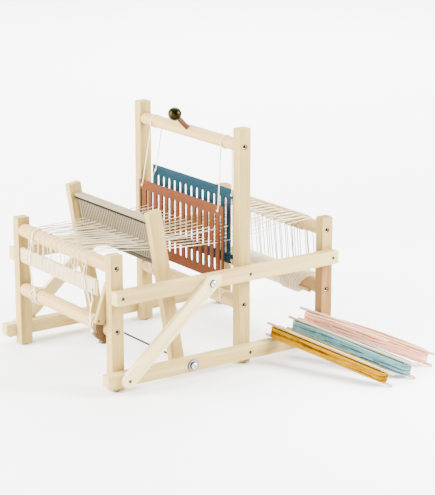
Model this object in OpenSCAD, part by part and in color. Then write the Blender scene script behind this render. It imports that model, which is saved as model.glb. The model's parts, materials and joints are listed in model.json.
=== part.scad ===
/* [Frame] */
// Clear width between the posts
inner_w = 240; // [236:2:290]
// Width of a post, across the loom
post_w = 15; // [12:0.5:20]
// Depth of a post, along the loom
post_d = 19; // [17:0.5:24]
// Height of the front and back posts
end_post_h = 195; // [192:1:230]
// Height of the two middle posts that carry the heddle roller
castle_h = 344; // [338:1:380]
// Distance from the front posts to the middle posts
front_bay = 213; // [210:1:250]
// Distance from the middle posts to the back posts
back_bay = 149; // [125:1:190]
// Thickness of the side rails
rail_t = 15; // [12:0.5:20]
// Height of the side rails
rail_h = 19; // [17:0.5:24]
// Underside of the lower rails above the floor
low_rail_z = 11.5; // [10:0.5:15]
// Underside of the upper rails above the floor
top_rail_z = 127.5; // [122:0.5:135]
// How far the lower rails stand out in front of the front posts
low_rail_nose = 16; // [10:0.5:20]
// How far the upper rails stand out in front of the front posts
top_rail_nose = 0; // [0:0.5:10]
// Rounding of the lower rails' front corners
rail_round = 6; // [2:0.5:8]
// Width of the slanted braces
brace_w = 20; // [14:0.5:22]
// Thickness of the slanted braces
brace_t = 8; // [5:0.5:10]
// Distance of a brace's upper bolt behind the front of the frame
brace_top_y = 152; // [130:1:170]
// Distance of a brace's lower screw behind the front of the frame
brace_low_y = 14; // [13:0.5:15]
// Thickness of the pads under the posts
pad_t = 2; // [1:0.5:4]
// Diameter of the pads
pad_d = 11; // [8:0.5:15]

/* [Beams and rollers] */
// Diameter of the four warp and cloth beams
beam_d = 20; // [17:0.5:22]
// Height of the breast beam and the back beam
high_beam_z = 176; // [172:1:177]
// Height of the cloth beam and the warp beam
low_beam_z = 86; // [82:1:89]
// Diameter of the upper heddle roller
roller_d = 18; // [15:0.5:20]
// Distance of the upper heddle roller below the top of the middle posts
roller_drop = 26; // [20:1:32]
// Diameter of the lower heddle roller
low_roller_d = 20; // [17:0.5:22]
// Height of the lower heddle roller
low_roller_z = 88; // [80:1:90]
// Diameter of the shanks of the bolts that carry the beams
bolt_d = 5; // [4:0.25:6]
// Diameter of the sunk bolt heads
bolt_head_d = 7; // [6.5:0.25:7.5]
// Diameter of the pockets that the bolt heads sit in
bolt_pocket_d = 8; // [7.8:0.1:10]
// How deep the bolts run into the beams' ends
bolt_reach = 18; // [10:1:25]
// Diameter of the wood screws
screw_d = 3; // [2.5:0.25:4]
// Length of the wood screws
screw_l = 26; // [22:1:28]

/* [Heddle lever] */
// Angle of the lever forward of upright
lever_tilt = 44; // [20:1:60]
// Distance from the roller's axis to the middle of the knob
lever_reach = 39.5; // [34:0.5:50]
// Diameter of the lever's stem
stem_d = 7.5; // [5:0.25:8]
// Diameter of the knob
knob_d = 20; // [16:0.5:24]

/* [Heddles] */
// Width of a heddle board
heddle_w = 218; // [215:1:230]
// Height of a heddle board
heddle_h = 110; // [104:1:116]
// Thickness of a heddle board
heddle_t = 2.4; // [1.2:0.1:3]
// Distance between one slot and the next
slot_pitch = 14.6; // [14:0.1:14.7]
// Width of a slot
slot_w = 6.6; // [5:0.2:8]
// Height of the closed band above and below the slots
heddle_band = 13.5; // [11:0.5:16]
// Diameter of the eyes between the slots
eye_d = 3; // [2.6:0.1:4]
// Height of the middle of the front heddle
front_heddle_z = 174; // [171:0.5:175]
// Height of the middle of the back heddle
back_heddle_z = 193.5; // [190:0.5:196]
// Distance of the front heddle in front of the heddle rollers
front_heddle_off = 18.5; // [16:0.5:20]
// Distance of the back heddle behind the heddle rollers
back_heddle_off = 6; // [4:0.5:9]

/* [Beater] */
// Clear width between the beater's side pieces
beater_w = 202; // [198:1:206]
// Width of a side piece, across the loom
sword_w = 12; // [8:0.5:13]
// Depth of a side piece, along the loom
sword_d = 20; // [14:0.5:22]
// Length of a side piece above its pivot
sword_l = 221; // [215:1:230]
// Length of a side piece below its pivot
sword_tail = 9; // [7:0.5:10]
// Lean of the beater forward of upright
beater_lean = 9.7; // [8:0.1:11]
// Distance of the beater's pivot behind the front of the frame
pivot_y = 123; // [120:1:128]
// Diameter of the steel rod that the beater turns on
rod_d = 3; // [2.5:0.25:4]
// Depth of the beater's cap, along the loom
cap_d = 10; // [8:0.5:14]
// Height of the beater's cap
cap_h = 5.5; // [4:0.5:8]
// Distance from the pivot to the cap's underside
cap_at = 203.5; // [199:0.5:206]
// Distance from the pivot to the underside of the reed
reed_at = 145.5; // [139:0.5:149]
// Height of the strips along the reed's upper and lower edges
reed_strip = 3; // [2:0.5:5]
// Depth of the reed, along the loom
reed_d = 4; // [3:0.5:6]
// Width of one dent of the reed
dent_w = 0.8; // [0.5:0.1:1]
// Height of the beater's lower rail
beater_rail_h = 4; // [3:0.5:8]

/* [Warp and cloth] */
// Diameter of the warp threads
thread_d = 1.4; // [1:0.1:1.6]
// Number of warp threads on each side of the middle one
side_threads = 13; // [9:1:13]
// Middle of the warp on the breast beam, from the loom's middle
front_warp_x = -12; // [-14:1:0]
// Distance between the threads on the breast beam
front_gap = 6.2; // [5:0.1:6.6]
// Length of the slat that the warp is tied to
slat_l = 214; // [206:1:216]
// Height of the slat
slat_h = 19; // [14:0.5:21]
// Thickness of the slat
slat_t = 3; // [2:0.5:4]
// Height of the slat's underside
slat_z = 134; // [130:1:138]
// Loops of thread round the slat
slat_loops = 16; // [8:1:20]
// Radius of the warp wound on the warp beam, under its outer layer
roll_r = 15.5; // [15:0.5:17]
// Length of the warp wound on the warp beam
roll_l = 186; // [170:1:190]
// Loops of the outer layer of the wound warp
roll_loops = 20; // [12:1:24]
// Distance of the tie cords from the middle of the loom
tie_x = 79; // [60:1:90]
// Diameter of the heddle cords and the tie cords
cord_d = 1.6; // [1.2:0.1:2]
// Distance of the heddle cords from the middle of the loom, at the boards
cord_x = 98.6; // [98:0.1:99]
// Distance of the heddle cords from the middle of the loom, at the rollers
roller_cord_x = 90.5; // [86:0.5:98]
// Length of the stick under the wound warp
stick_l = 214; // [206:1:220]
// Width of the stick under the wound warp
stick_w = 8; // [6:0.5:8]

/* [Ratchet and pawl] */
// Number of teeth of the ratchet wheel on the cloth beam
teeth = 8; // [8:1:10]
// Radius of the ratchet wheel at the tips of its teeth
tip_r = 24; // [23:0.5:26]
// Depth of the teeth
tooth_h = 4; // [4:0.25:5]
// Thickness of the ratchet wheel
wheel_t = 8; // [5:0.5:10]
// Distance of the pawl's screw behind the front of the frame
pawl_y = 8.5; // [8:0.25:10]
// Height of the pawl's screw
pawl_z = 149; // [148:0.5:152]
// Thickness of the pawl
pawl_t = 7; // [5:0.5:8]
// Diameter of the peg at the pawl's lower end
peg_d = 3; // [2.5:0.25:3.5]
// Length of the pawl's screw
pawl_screw_l = 18; // [14:1:19]

/* [Shuttles] */
// Length of a shuttle's rods
shuttle_l = 218; // [200:1:230]
// Distance between a shuttle's two rods
shuttle_gap = 17.6; // [17.4:0.1:20]
// Diameter of a shuttle's rods
shuttle_rod_d = 4; // [3:0.25:4.25]
// Distance from a rod's end to the crossbar
shuttle_end = 19; // [18:1:24]
// Diameter of the crossbars
crossbar_d = 3; // [2:0.25:4]
// Diameter of the yarn
yarn_d = 1.6; // [1.2:0.1:1.7]
// Loops of yarn in a shuttle's outer layer
yarn_loops = 5; // [3:1:5]
// Thickness of the wound yarn under its outer layer
yarn_core_t = 14; // [10:0.5:15]
// Distance from one shuttle to the next along the lower rail
shuttle_step = 44; // [42:0.5:45]
// Place where the first shuttle crosses the lower rail, behind the front of the frame
shuttle_y = 270; // [262:0.5:270]
// Turn of the first shuttle away from the loom's width
shuttle_yaw = 17.5; // [15:0.5:18]

/* [Hidden] */

wood = "#ecdcbc";
dark_wood = "#c08a52";
steel = "#6f7072";
bright = "#c9ccd0";
brown_steel = "#a35c34";
olive = "#4a4020";
coral = "#c7644a";
sea_blue = "#3c6f80";
cream = "#efe6cf";
khaki = "#9d9068";
orange = "#f0a018";
yarn_blue = "#6fb0b8";
pink = "#f0bfae";

fit = 0.05;        // radial play of what turns on a pin
play = 0.3;        // room between pieces that pass each other
head_sink = 6;     // depth of a bolt head's pocket
head_t = 3;        // thickness of a sunk bolt head
edge = 1;          // bevel of a post's top edges
cap_nut_d = 11;
cap_nut_t = 5;
cap_dome_h = 4.5;
washer_d = 17;
washer_t = 1.5;
screw_head_t = 0.8;
sides = 6;         // sides of a thread's or a cord's tube

outer_w = inner_w + 2 * post_w;
frame_d = front_bay + back_bay + post_d;
front_y = post_d / 2;
middle_y = front_bay + post_d / 2;
roller_z = castle_h - roller_drop;
back_y = front_bay + back_bay + post_d / 2;
beam_l = inner_w - 2 * play;
beam_r = beam_d / 2;
thread_r = thread_d / 2;
cord_r = cord_d / 2;
low_screw_z = low_rail_z + rail_h / 2;
top_screw_z = top_rail_z + rail_h / 2;
top_rail_top = top_rail_z + rail_h;
low_rail_top = low_rail_z + rail_h;
rail_in = outer_w / 2;
rail_out = rail_in + rail_t;
brace_out = rail_out + brace_t;
brace_angle = atan2(top_screw_z - low_screw_z, brace_top_y - brace_low_y);
screw_head_d = 1.6 * screw_d;
front_heddle_y = middle_y - front_heddle_off;
back_heddle_y = middle_y + back_heddle_off;
thread_pitch = slot_pitch / 2;
dent_pitch = thread_pitch / 2;
reed_w = beater_w - 2 * play;
slat_y = front_y - beam_r - play - thread_r;
spread_y = pivot_y - cap_at * sin(beater_lean) - 4; // where the warp starts to draw together, before the reed
arc_steps = 4;     // steps of a quarter turn over a beam
wrap_r = (beam_r + play + thread_r) / cos(45 / arc_steps);
pawl_x = inner_w / 2 - play - pawl_t;
wheel_x = pawl_x - play - wheel_t;
root_r = tip_r - tooth_h;
tooth_angle = 145; // direction of one tooth's upright face, seen from the right
peg_angle = 142;
peg_path_r = tip_r + play + peg_d / 2;
peg_y = front_y + peg_path_r * cos(peg_angle);
peg_z = low_beam_z + peg_path_r * sin(peg_angle);
pawl_lead = 5 - peg_y; // how far the pawl's toe stands out in front of the frame
hole_shift = 6;    // the cord holes lie beside the tie cords
hole_turn = 20;    // and open a little above the beam's front
stick_t = 3;
stick_angle = -145;
stick_shift = 4;
roll_steps = 12;
roll_layer_r = (roll_r + play + thread_r) / cos(180 / roll_steps);
roll_wrap_r = roll_layer_r + 2 * thread_r + play;
roll_x = -4;

// The three shuttles cross the rail's outer edge one after another, each turned a little further
shuttle_over = [20, 25, 45];
shuttle_turn = [0, 2, 8.5];
rod_r = shuttle_rod_d / 2;
function yaw(k) = shuttle_yaw + shuttle_turn[k];
function rod_lift(k) = (rod_r + play) * norm([1, tan(asin(low_rail_top / (shuttle_l - shuttle_over[k]))) / cos(yaw(k))]);
function drop(k) = asin((low_rail_top + rod_lift(k) - rod_r - play / 2) / (shuttle_l - shuttle_over[k]));
function rod_run(k) = [cos(drop(k)) * cos(yaw(k)), cos(drop(k)) * sin(yaw(k)), -sin(drop(k))];
function rod_start(k) = [rail_out, shuttle_y + k * shuttle_step, low_rail_top + rod_lift(k)]
    - shuttle_over[k] * rod_run(k);
function rod_tip(k) = rod_start(k) + shuttle_l * rod_run(k)
    + shuttle_gap * [sin(drop(k)) * cos(yaw(k)), sin(drop(k)) * sin(yaw(k)), cos(drop(k))]
    + rod_r * [sqrt(1 - pow(rod_run(k)[0], 2)), sqrt(1 - pow(rod_run(k)[1], 2)), 0];
yarn_r = yarn_d / 2;
yarn_room = shuttle_gap - shuttle_rod_d - yarn_d - 2 * play;
yarn_arc = 6;      // steps of a half turn of yarn round a crossbar
yarn_wind_r = (yarn_core_t / 2 + play + yarn_r) / cos(90 / yarn_arc);

// The set's own box, whose lower middle is the origin
left_edge = -brace_out - cap_dome_h;
front_edge = min(-low_rail_nose, -pawl_lead);
centre_x = (left_edge + max([for (k = [0:2]) rod_tip(k)[0]])) / 2;
centre_y = (front_edge + max([for (k = [0:2]) rod_tip(k)[1]])) / 2;

module placed() translate([-centre_x, -centre_y, 0]) children();

// A profile drawn in (depth, height), extruded across the loom from x0
module across(x0, t) translate([x0, 0, 0]) rotate([90, 0, 90]) linear_extrude(t) children();

// Where a piece of thickness t starts when it lies outside the distance d from the middle
function side_start(side, d, t) = side > 0 ? d : -d - t;

// A pin that starts at the distance d from the middle and runs outward on one side
module pin(side, d, y, z, r, l, fn = 32)
    translate([side * d, y, z]) rotate([0, side * 90, 0]) cylinder(r = r, h = l, $fn = fn);

// A low dome on a round foot, its axis along +Z
module dome(r, h, n = 6)
    rotate_extrude($fn = 32) polygon(concat([[0, 0]], [for (i = [0:n]) [r * cos(90 * i / n), h * sin(90 * i / n)]]));

module side_dome(side, d, y, z, r, h) translate([side * d, y, z]) rotate([0, side * 90, 0]) dome(r, h);

// Bores for a beam's bolt in a post
module bolt_bores(side, y, z) {
    pin(side, inner_w / 2 - 1, y, z, bolt_d / 2 + fit, post_w + 2);
    pin(side, outer_w / 2 - head_sink, y, z, bolt_pocket_d / 2, head_sink + 1);
}

module post(side, y0, h, bolts, low_y) difference() {
    across(side_start(side, inner_w / 2, post_w), post_w) polygon([[y0, pad_t], [y0 + post_d, pad_t],
        [y0 + post_d, h - edge], [y0 + post_d - edge, h], [y0 + edge, h], [y0, h - edge]]);
    for (z = bolts) bolt_bores(side, y0 + post_d / 2, z);
    pin(side, rail_out - screw_l - 0.5, y0 + post_d / 2, top_screw_z, screw_d / 2 + fit, screw_l + 1);
    pin(side, rail_out - screw_l - 0.5, low_y, low_screw_z, screw_d / 2 + fit, screw_l + 1);
}
module front_post(side) color(wood) placed() difference() {
    post(side, 0, end_post_h, [low_beam_z, high_beam_z], brace_low_y);
    if (side > 0) pin(1, inner_w / 2 - 1, pawl_y, pawl_z, screw_d / 2 + fit, pawl_screw_l - pawl_t + 1);
}
module middle_post(side) color(wood) placed() post(side, front_bay, castle_h, [low_roller_z, roller_z], middle_y);
module back_post(side) color(wood) placed()
    post(side, front_bay + back_bay, end_post_h, [low_beam_z, high_beam_z], back_y);

// Side view of a rail, with or without a rounded lower front corner
module rail_profile(z0, r) {
    translate([-low_rail_nose + r, z0]) square([frame_d + low_rail_nose - r, rail_h]);
    translate([-low_rail_nose, z0 + r]) square([r + 0.01, rail_h - r]);
    translate([-low_rail_nose + r, z0 + r]) circle(r, $fn = 48);
}
module top_rail(side) color(wood) placed() difference() {
    across(side_start(side, rail_in, rail_t), rail_t)
        translate([-top_rail_nose, top_rail_z]) square([frame_d + top_rail_nose, rail_h]);
    for (y = [front_y, middle_y, back_y])
        pin(side, rail_in - 1, y, top_screw_z, screw_d / 2 + fit, rail_t + 2);
    pin(side, rail_in - 1, brace_top_y, top_screw_z, bolt_d / 2 + fit, rail_t + 2);
}
module low_rail(side) color(wood) placed() difference() {
    across(side_start(side, rail_in, rail_t), rail_t) rail_profile(low_rail_z, rail_round);
    for (y = [brace_low_y, middle_y, back_y])
        pin(side, rail_in - 1, y, low_screw_z, screw_d / 2 + fit, rail_t + 2);
    pin(side, rail_in - 1, pivot_y, low_screw_z, rod_d / 2 + fit, rail_t + 2);
}

// Side view of a brace: round at its lower end, cut level with the upper rail's top
module brace_profile() intersection() {
    union() {
        translate([brace_low_y, low_screw_z]) circle(brace_w / 2, $fn = 48);
        translate([brace_low_y, low_screw_z]) rotate(brace_angle)
            translate([0, -brace_w / 2]) square([2 * brace_top_y, brace_w]);
    }
    translate([brace_low_y - brace_w, 0]) square([brace_top_y + brace_w, top_rail_top]);
}
module brace(side) color(wood) placed() difference() {
    across(side_start(side, rail_out, brace_t), brace_t) brace_profile();
    pin(side, rail_out - 1, brace_low_y, low_screw_z, screw_d / 2 + fit, brace_t + 2);
    pin(side, rail_out - 1, brace_top_y, top_screw_z, bolt_d / 2 + fit, brace_t + 2);
}

module foot_pads() color(steel) placed()
    for (side = [-1, 1], y = [front_y, middle_y, back_y])
        translate([side * (inner_w + post_w) / 2, y, 0]) cylinder(d = pad_d, h = pad_t, $fn = 32);

// One bolt from its head in the post's pocket to its end in the beam
module beam_bolt(side, y, z) {
    pin(side, outer_w / 2 - head_sink, y, z, bolt_head_d / 2, head_t);
    pin(side, inner_w / 2 - bolt_reach, y, z, bolt_d / 2, post_w - head_sink + bolt_reach + 1);
}
module beam_bolts() color(bright) placed() for (side = [-1, 1]) {
    for (y = [front_y, back_y], z = [low_beam_z, high_beam_z]) beam_bolt(side, y, z);
    for (z = [low_roller_z, roller_z]) beam_bolt(side, middle_y, z);
}

module wood_screw(side, d, y, z) {
    pin(side, d - screw_l, y, z, screw_d / 2, screw_l + 0.2);
    side_dome(side, d, y, z, screw_head_d / 2, screw_head_t);
}
module rail_screws() color(steel) placed() for (side = [-1, 1]) {
    for (y = [front_y, middle_y, back_y]) wood_screw(side, rail_out, y, top_screw_z);
    for (y = [middle_y, back_y]) wood_screw(side, rail_out, y, low_screw_z);
}
module brace_screws() color(steel) placed() for (side = [-1, 1]) {
    side_dome(side, brace_out, brace_low_y, low_screw_z, screw_head_d / 2, screw_head_t);
    pin(side, rail_out - screw_l, brace_low_y, low_screw_z, screw_d / 2, screw_l + brace_t + 0.2);
}
module brace_bolts() color(bright) placed() for (side = [-1, 1]) {
    side_dome(side, brace_out, brace_top_y, top_screw_z, cap_nut_d / 2, cap_dome_h);
    pin(side, rail_in - cap_nut_t, brace_top_y, top_screw_z, bolt_d / 2, cap_nut_t + rail_t + brace_t + 0.2);
}
module hex_nut(side, d, y, z, bore) difference() {
    pin(side, d, y, z, cap_nut_d / 2, cap_nut_t - 1, 6);
    pin(side, d - 1, y, z, bore / 2 + fit, cap_nut_t + 1);
}
module brace_nuts() color(bright) placed()
    for (side = [-1, 1]) hex_nut(side, rail_in - cap_nut_t + 1, brace_top_y, top_screw_z, bolt_d);

// A round beam with a bore for a bolt in each end
module beam(y, z, d) difference() {
    translate([-beam_l / 2, y, z]) rotate([0, 90, 0]) cylinder(d = d, h = beam_l, $fn = 64);
    for (side = [-1, 1]) pin(side, inner_w / 2 - bolt_reach - 1, y, z, bolt_d / 2 + fit, bolt_reach + 2);
}
module breast_beam() color(wood) placed() beam(front_y, high_beam_z, beam_d);
module back_beam() color(wood) placed() beam(back_y, high_beam_z, beam_d);
module cloth_beam() color(wood) placed() difference() {
    beam(front_y, low_beam_z, beam_d);
    for (side = [-1, 1]) translate([side * tie_x - hole_shift, front_y, low_beam_z]) rotate([90 - hole_turn, 0, 0])
        cylinder(d = cord_d + 1.4, h = beam_d, center = true, $fn = 24);
}
module warp_beam() color(wood) placed() beam(back_y, low_beam_z, beam_d);
module lower_roller() color(wood) placed() beam(middle_y, low_roller_z, low_roller_d);

// The lever's own frame: its axis along +Z from the roller's middle
module lever_frame() translate([0, middle_y, roller_z]) rotate([lever_tilt, 0, 0]) children();
module heddle_roller() color(wood) placed() difference() {
    beam(middle_y, roller_z, roller_d);
    lever_frame() cylinder(d = stem_d + 2 * fit, h = roller_d, $fn = 32);
}
module lever_stem() color(brown_steel) placed()
    lever_frame() translate([0, 0, fit]) cylinder(d = stem_d, h = lever_reach - fit, $fn = 32);
module lever_knob() color(olive) placed() lever_frame() difference() {
    translate([0, 0, lever_reach]) sphere(d = knob_d, $fn = 48);
    cylinder(d = stem_d + 2 * fit, h = lever_reach + fit, $fn = 32);
}

// An upright slot with round ends, from its middle
module slot_shape(h) {
    square([slot_w, h - slot_w], center = true);
    for (s = [-1, 1]) translate([0, s * (h - slot_w) / 2]) circle(d = slot_w, $fn = 16);
}

// A heddle board seen from the front, with slots at the places slots and eyes between them
module heddle(y, z, slots, eyes) translate([0, y + heddle_t / 2, z]) rotate([90, 0, 0])
    linear_extrude(heddle_t) difference() {
        square([heddle_w, heddle_h], center = true);
        for (k = slots) translate([k * thread_pitch, 0]) slot_shape(heddle_h - 2 * heddle_band);
        for (k = eyes) translate([k * thread_pitch, 0]) circle(d = eye_d, $fn = 24);
        for (s = [-1, 1], t = [-1, 1])
            translate([s * cord_x, t * (heddle_h / 2 - heddle_band / 2)]) circle(d = cord_d + 1.4, $fn = 24);
    }
module front_heddle() color(coral) placed()
    heddle(front_heddle_y, front_heddle_z, [-14:2:14], [-13:2:13]);
module back_heddle() color(sea_blue) placed()
    heddle(back_heddle_y, back_heddle_z, [-13:2:13], [-12:2:12]);

// A tube along points, as one closed solid. Each ring stands square to the run there
function unit(v) = v / norm(v);
function run_at(p, i) = unit(p[min(i + 1, len(p) - 1)] - p[max(i - 1, 0)]);
function ring(p, i, r, up) = let (d = run_at(p, i), a = unit(cross(d, up)), b = cross(a, d))
    [for (k = [0:sides - 1]) p[i] + r * (a * cos(360 * k / sides) + b * sin(360 * k / sides))];
module tube(p, r, up = [1, 0, 0]) {
    n = len(p);
    points = [for (i = [0:n - 1]) each ring(p, i, r, up)];
    walls = [for (i = [0:n - 2], k = [0:sides - 1]) let (a = i * sides + k, b = i * sides + (k + 1) % sides)
        each [[a, a + sides, b], [b, a + sides, b + sides]]];
    first = [for (k = [1:sides - 2]) [0, k, k + 1]];
    last = [for (k = [1:sides - 2]) [(n - 1) * sides, (n - 1) * sides + k + 1, (n - 1) * sides + k]];
    polyhedron(points = points, faces = concat(walls, first, last), convexity = 6);
}

// Least distance between points of one winding that lie more than skip steps apart, less the thread
function least_gap(p, skip, d) =
    min([for (i = [0:len(p) - 1], j = [i + skip:1:len(p) - 1]) norm(p[i] - p[j])]) - d;

// The heddle cords: from a roller, past a board's hole, down to the other roller
cord_wrap_r = cord_r + play;
module heddle_cord(side, y, roller_side, hole_z) {
    y_start = middle_y + roller_side * (roller_d / 2 + cord_wrap_r);
    face_y = y - heddle_t / 2 - cord_wrap_r;
    tube([[side * roller_cord_x, y_start, roller_z], [side * roller_cord_x, y_start, roller_z - 12],
        [side * (roller_cord_x + cord_x) / 2, (y_start + face_y) / 2, (roller_z + hole_z) / 2],
        [side * cord_x, face_y, hole_z + 12], [side * cord_x, face_y, hole_z]], cord_r);
}
module low_heddle_cord(side, y, roller_side, hole_z) {
    y_end = middle_y + roller_side * (low_roller_d / 2 + cord_wrap_r);
    face_y = y - heddle_t / 2 - cord_wrap_r;
    tube([[side * cord_x, face_y, hole_z], [side * cord_x, face_y, hole_z - 8],
        [side * roller_cord_x, y_end, low_roller_z + 6], [side * roller_cord_x, y_end, low_roller_z]], cord_r);
}
module heddle_cords(y, z, roller_side) {
    hole = heddle_h / 2 - heddle_band / 2;
    for (side = [-1, 1]) {
        heddle_cord(side, y, roller_side, z + hole);
        low_heddle_cord(side, y, roller_side, z - hole);
    }
}
module front_heddle_cords() color(cream) placed() heddle_cords(front_heddle_y, front_heddle_z, -1);
module back_heddle_cords() color(cream) placed() heddle_cords(back_heddle_y, back_heddle_z, 1);

// The beater's own frame: the pivot at its origin, the side pieces along +Z
module beater_frame() translate([0, pivot_y, low_screw_z]) rotate([beater_lean, 0, 0]) children();
module sword(side) color(wood) placed() beater_frame() difference() {
    translate([side_start(side, beater_w / 2, sword_w), -sword_d / 2, -sword_tail])
        cube([sword_w, sword_d, sword_tail + sword_l]);
    pin(side, beater_w / 2 - 1, 0, 0, rod_d / 2 + fit, sword_w + 2);
}
module beater_cap() color(khaki) placed() beater_frame()
    translate([-reed_w / 2, -cap_d / 2, cap_at]) cube([reed_w, cap_d, cap_h]);
module beater_rail() color(dark_wood) placed() beater_frame()
    translate([-reed_w / 2, -cap_d / 2, reed_at - beater_rail_h]) cube([reed_w, cap_d, beater_rail_h]);
module reed() color(khaki) placed() beater_frame() {
    dents = floor((reed_w / 2 - dent_w) / dent_pitch - 0.5);
    for (z = [reed_at, cap_at - reed_strip])
        translate([-reed_w / 2, -reed_d / 2, z]) cube([reed_w, reed_d, reed_strip]);
    for (k = [-dents - 1:dents])
        translate([(k + 0.5) * dent_pitch - dent_w / 2, -reed_d / 2 + 0.2, reed_at + reed_strip - 0.1])
            cube([dent_w, reed_d - 0.4, cap_at - reed_at - 2 * reed_strip + 0.2]);
    for (s = [-1, 1]) translate([s * (reed_w - reed_strip) / 2, 0, (reed_at + cap_at) / 2])
        cube([reed_strip, reed_d, cap_at - reed_at - 0.2], center = true);
}

module pivot_rod() color(steel) placed()
    pin(1, -rail_out - washer_t - 2, pivot_y, low_screw_z, rod_d / 2, 2 * (rail_out + washer_t + 2));
module pivot_washers() color(bright) placed() for (side = [-1, 1]) difference() {
    pin(side, rail_out, pivot_y, low_screw_z, washer_d / 2, washer_t);
    pin(side, rail_out - 1, pivot_y, low_screw_z, rod_d / 2 + fit, washer_t + 2);
}
module pivot_nuts() color(bright) placed() for (side = [-1, 1]) {
    difference() {
        side_dome(side, rail_out + washer_t, pivot_y, low_screw_z, cap_nut_d / 2, cap_nut_t);
        pin(side, rail_out, pivot_y, low_screw_z, rod_d / 2 + fit, washer_t + 2 + 0.2);
    }
    difference() {
        pin(side, beater_w / 2 - play - 3, pivot_y, low_screw_z, rod_d, 3, 6);
        pin(side, beater_w / 2 - play - 4, pivot_y, low_screw_z, rod_d / 2 + fit, 5);
    }
}

// The ratchet wheel seen from the right: each tooth rises at its face and falls off behind it
function tooth_point(k, turn, r) = let (a = tooth_angle + k * 360 / teeth + turn) [r * cos(a), r * sin(a)];
module wheel_profile() polygon([for (k = [0:teeth - 1], p = [0:3])
    tooth_point(k, p == 0 ? 0 : (p - 1) * 120 / teeth, p == 0 ? root_r : tip_r - (p - 1) * tooth_h / 3)]);
module ratchet_wheel() color(dark_wood) placed() difference() {
    across(wheel_x, wheel_t) translate([front_y, low_beam_z]) wheel_profile();
    translate([wheel_x - 1, front_y, low_beam_z]) rotate([0, 90, 0])
        cylinder(d = beam_d + 2 * fit, h = wheel_t + 2, $fn = 64);
}

// The pawl hangs from its screw in the post and widens down to the wheel
module pawl() color(wood) placed() difference() {
    across(pawl_x, pawl_t) polygon([[pawl_y - 6, pawl_z + 4], [pawl_y - 3.5, pawl_z + 7], [pawl_y + 5, pawl_z + 7],
        [pawl_y + 6, pawl_z + 4], [peg_y + 9.5, peg_z - 5.5], [peg_y + 8, peg_z - 7], [-pawl_lead + 2, peg_z - 4],
        [-pawl_lead, peg_z - 1.5]]);
    pin(1, pawl_x - 1, pawl_y, pawl_z, screw_d / 2 + fit, pawl_t + 2);
    pin(1, pawl_x - 1, peg_y, peg_z, peg_d / 2 + fit, pawl_t + 2);
}
module pawl_peg() color(dark_wood) placed() pin(1, wheel_x + 1, peg_y, peg_z, peg_d / 2, wheel_t + play + pawl_t - 1);
module pawl_screw() color(steel) placed() {
    translate([pawl_x, pawl_y, pawl_z]) rotate([0, -90, 0]) dome(1.2 * screw_d, screw_head_t);
    pin(1, pawl_x - 0.2, pawl_y, pawl_z, screw_d / 2, pawl_screw_l + 0.2);
}

module tie_slat() color(wood) placed()
    translate([-slat_l / 2 - 3.5, slat_y - slat_t / 2, slat_z]) cube([slat_l, slat_t, slat_h]);

// A winding round the slat, which steps along it by one pitch a loop
slat_wind = [for (i = [0:8 * slat_loops]) let (a = i * 45 + 22.5, g = play + thread_r)
    [-3.5 + (slat_l - 12) * (i / (8 * slat_loops) - 0.5),
        slat_y + (cos(a) > 0 ? 1 : -1) * (slat_t / 2 + (abs(cos(a)) > 0.5 ? g : g * 0.6)),
        slat_z + slat_h / 2 + (sin(a) > 0 ? 1 : -1) * (abs(sin(a)) > 0.5 ? slat_h / 2 + g : slat_h / 2 - 2)]];
module slat_winding() color(cream) placed() tube(slat_wind, thread_r);

// A tie cord: from the slat down to the cloth beam and round it
function tie_path(x) = let (r = (beam_r + cord_wrap_r) / cos(15)) concat(
    [[x, slat_y, slat_z - thread_d - 2 * play], [x, front_y - r, low_beam_z + 15]],
    [for (i = [0:9]) [x + 0.3 * i, front_y - r * cos(30 * i), low_beam_z - r * sin(30 * i)]]);
module tie_cords() color(cream) placed() for (s = [-1, 1]) tube(tie_path(s * tie_x), cord_r);

// The stick that the warp's other end is tied to lies along the warp beam, under the wound warp
module stick(l, grow) translate([roll_x, back_y, low_beam_z]) rotate([stick_angle, 0, 0])
    translate([-l / 2, beam_r + play - grow, -stick_w / 2 - grow]) cube([l, stick_t + 2 * grow, stick_w + 2 * grow]);
module warp_stick() color(wood) placed() translate([stick_shift, 0, 0]) stick(stick_l, 0);
module warp_roll() color(cream) placed() difference() {
    translate([roll_x - roll_l / 2, back_y, low_beam_z]) rotate([0, 90, 0]) cylinder(r = roll_r, h = roll_l, $fn = 64);
    translate([roll_x - roll_l / 2 - 1, back_y, low_beam_z]) rotate([0, 90, 0])
        cylinder(d = beam_d + 2 * fit, h = roll_l + 2, $fn = 64);
    stick(roll_l + 2, fit);
}
roll_wind = [for (i = [0:roll_steps * roll_loops]) let (a = 360 * i / roll_steps)
    [roll_x + (roll_l - 4) * (i / (roll_steps * roll_loops) - 0.5),
        back_y + roll_layer_r * cos(a), low_beam_z + roll_layer_r * sin(a)]];
module warp_layer() color(cream) placed() tube(roll_wind, thread_r);

// Points of a quarter turn of thread over a beam, from the angle a to a - 90 seen from the right
function quarter(x, y, a) = [for (i = [0:arc_steps]) let (t = a - 90 * i / arc_steps)
    [x, y + wrap_r * cos(t), high_beam_z + wrap_r * sin(t)]];

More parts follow.
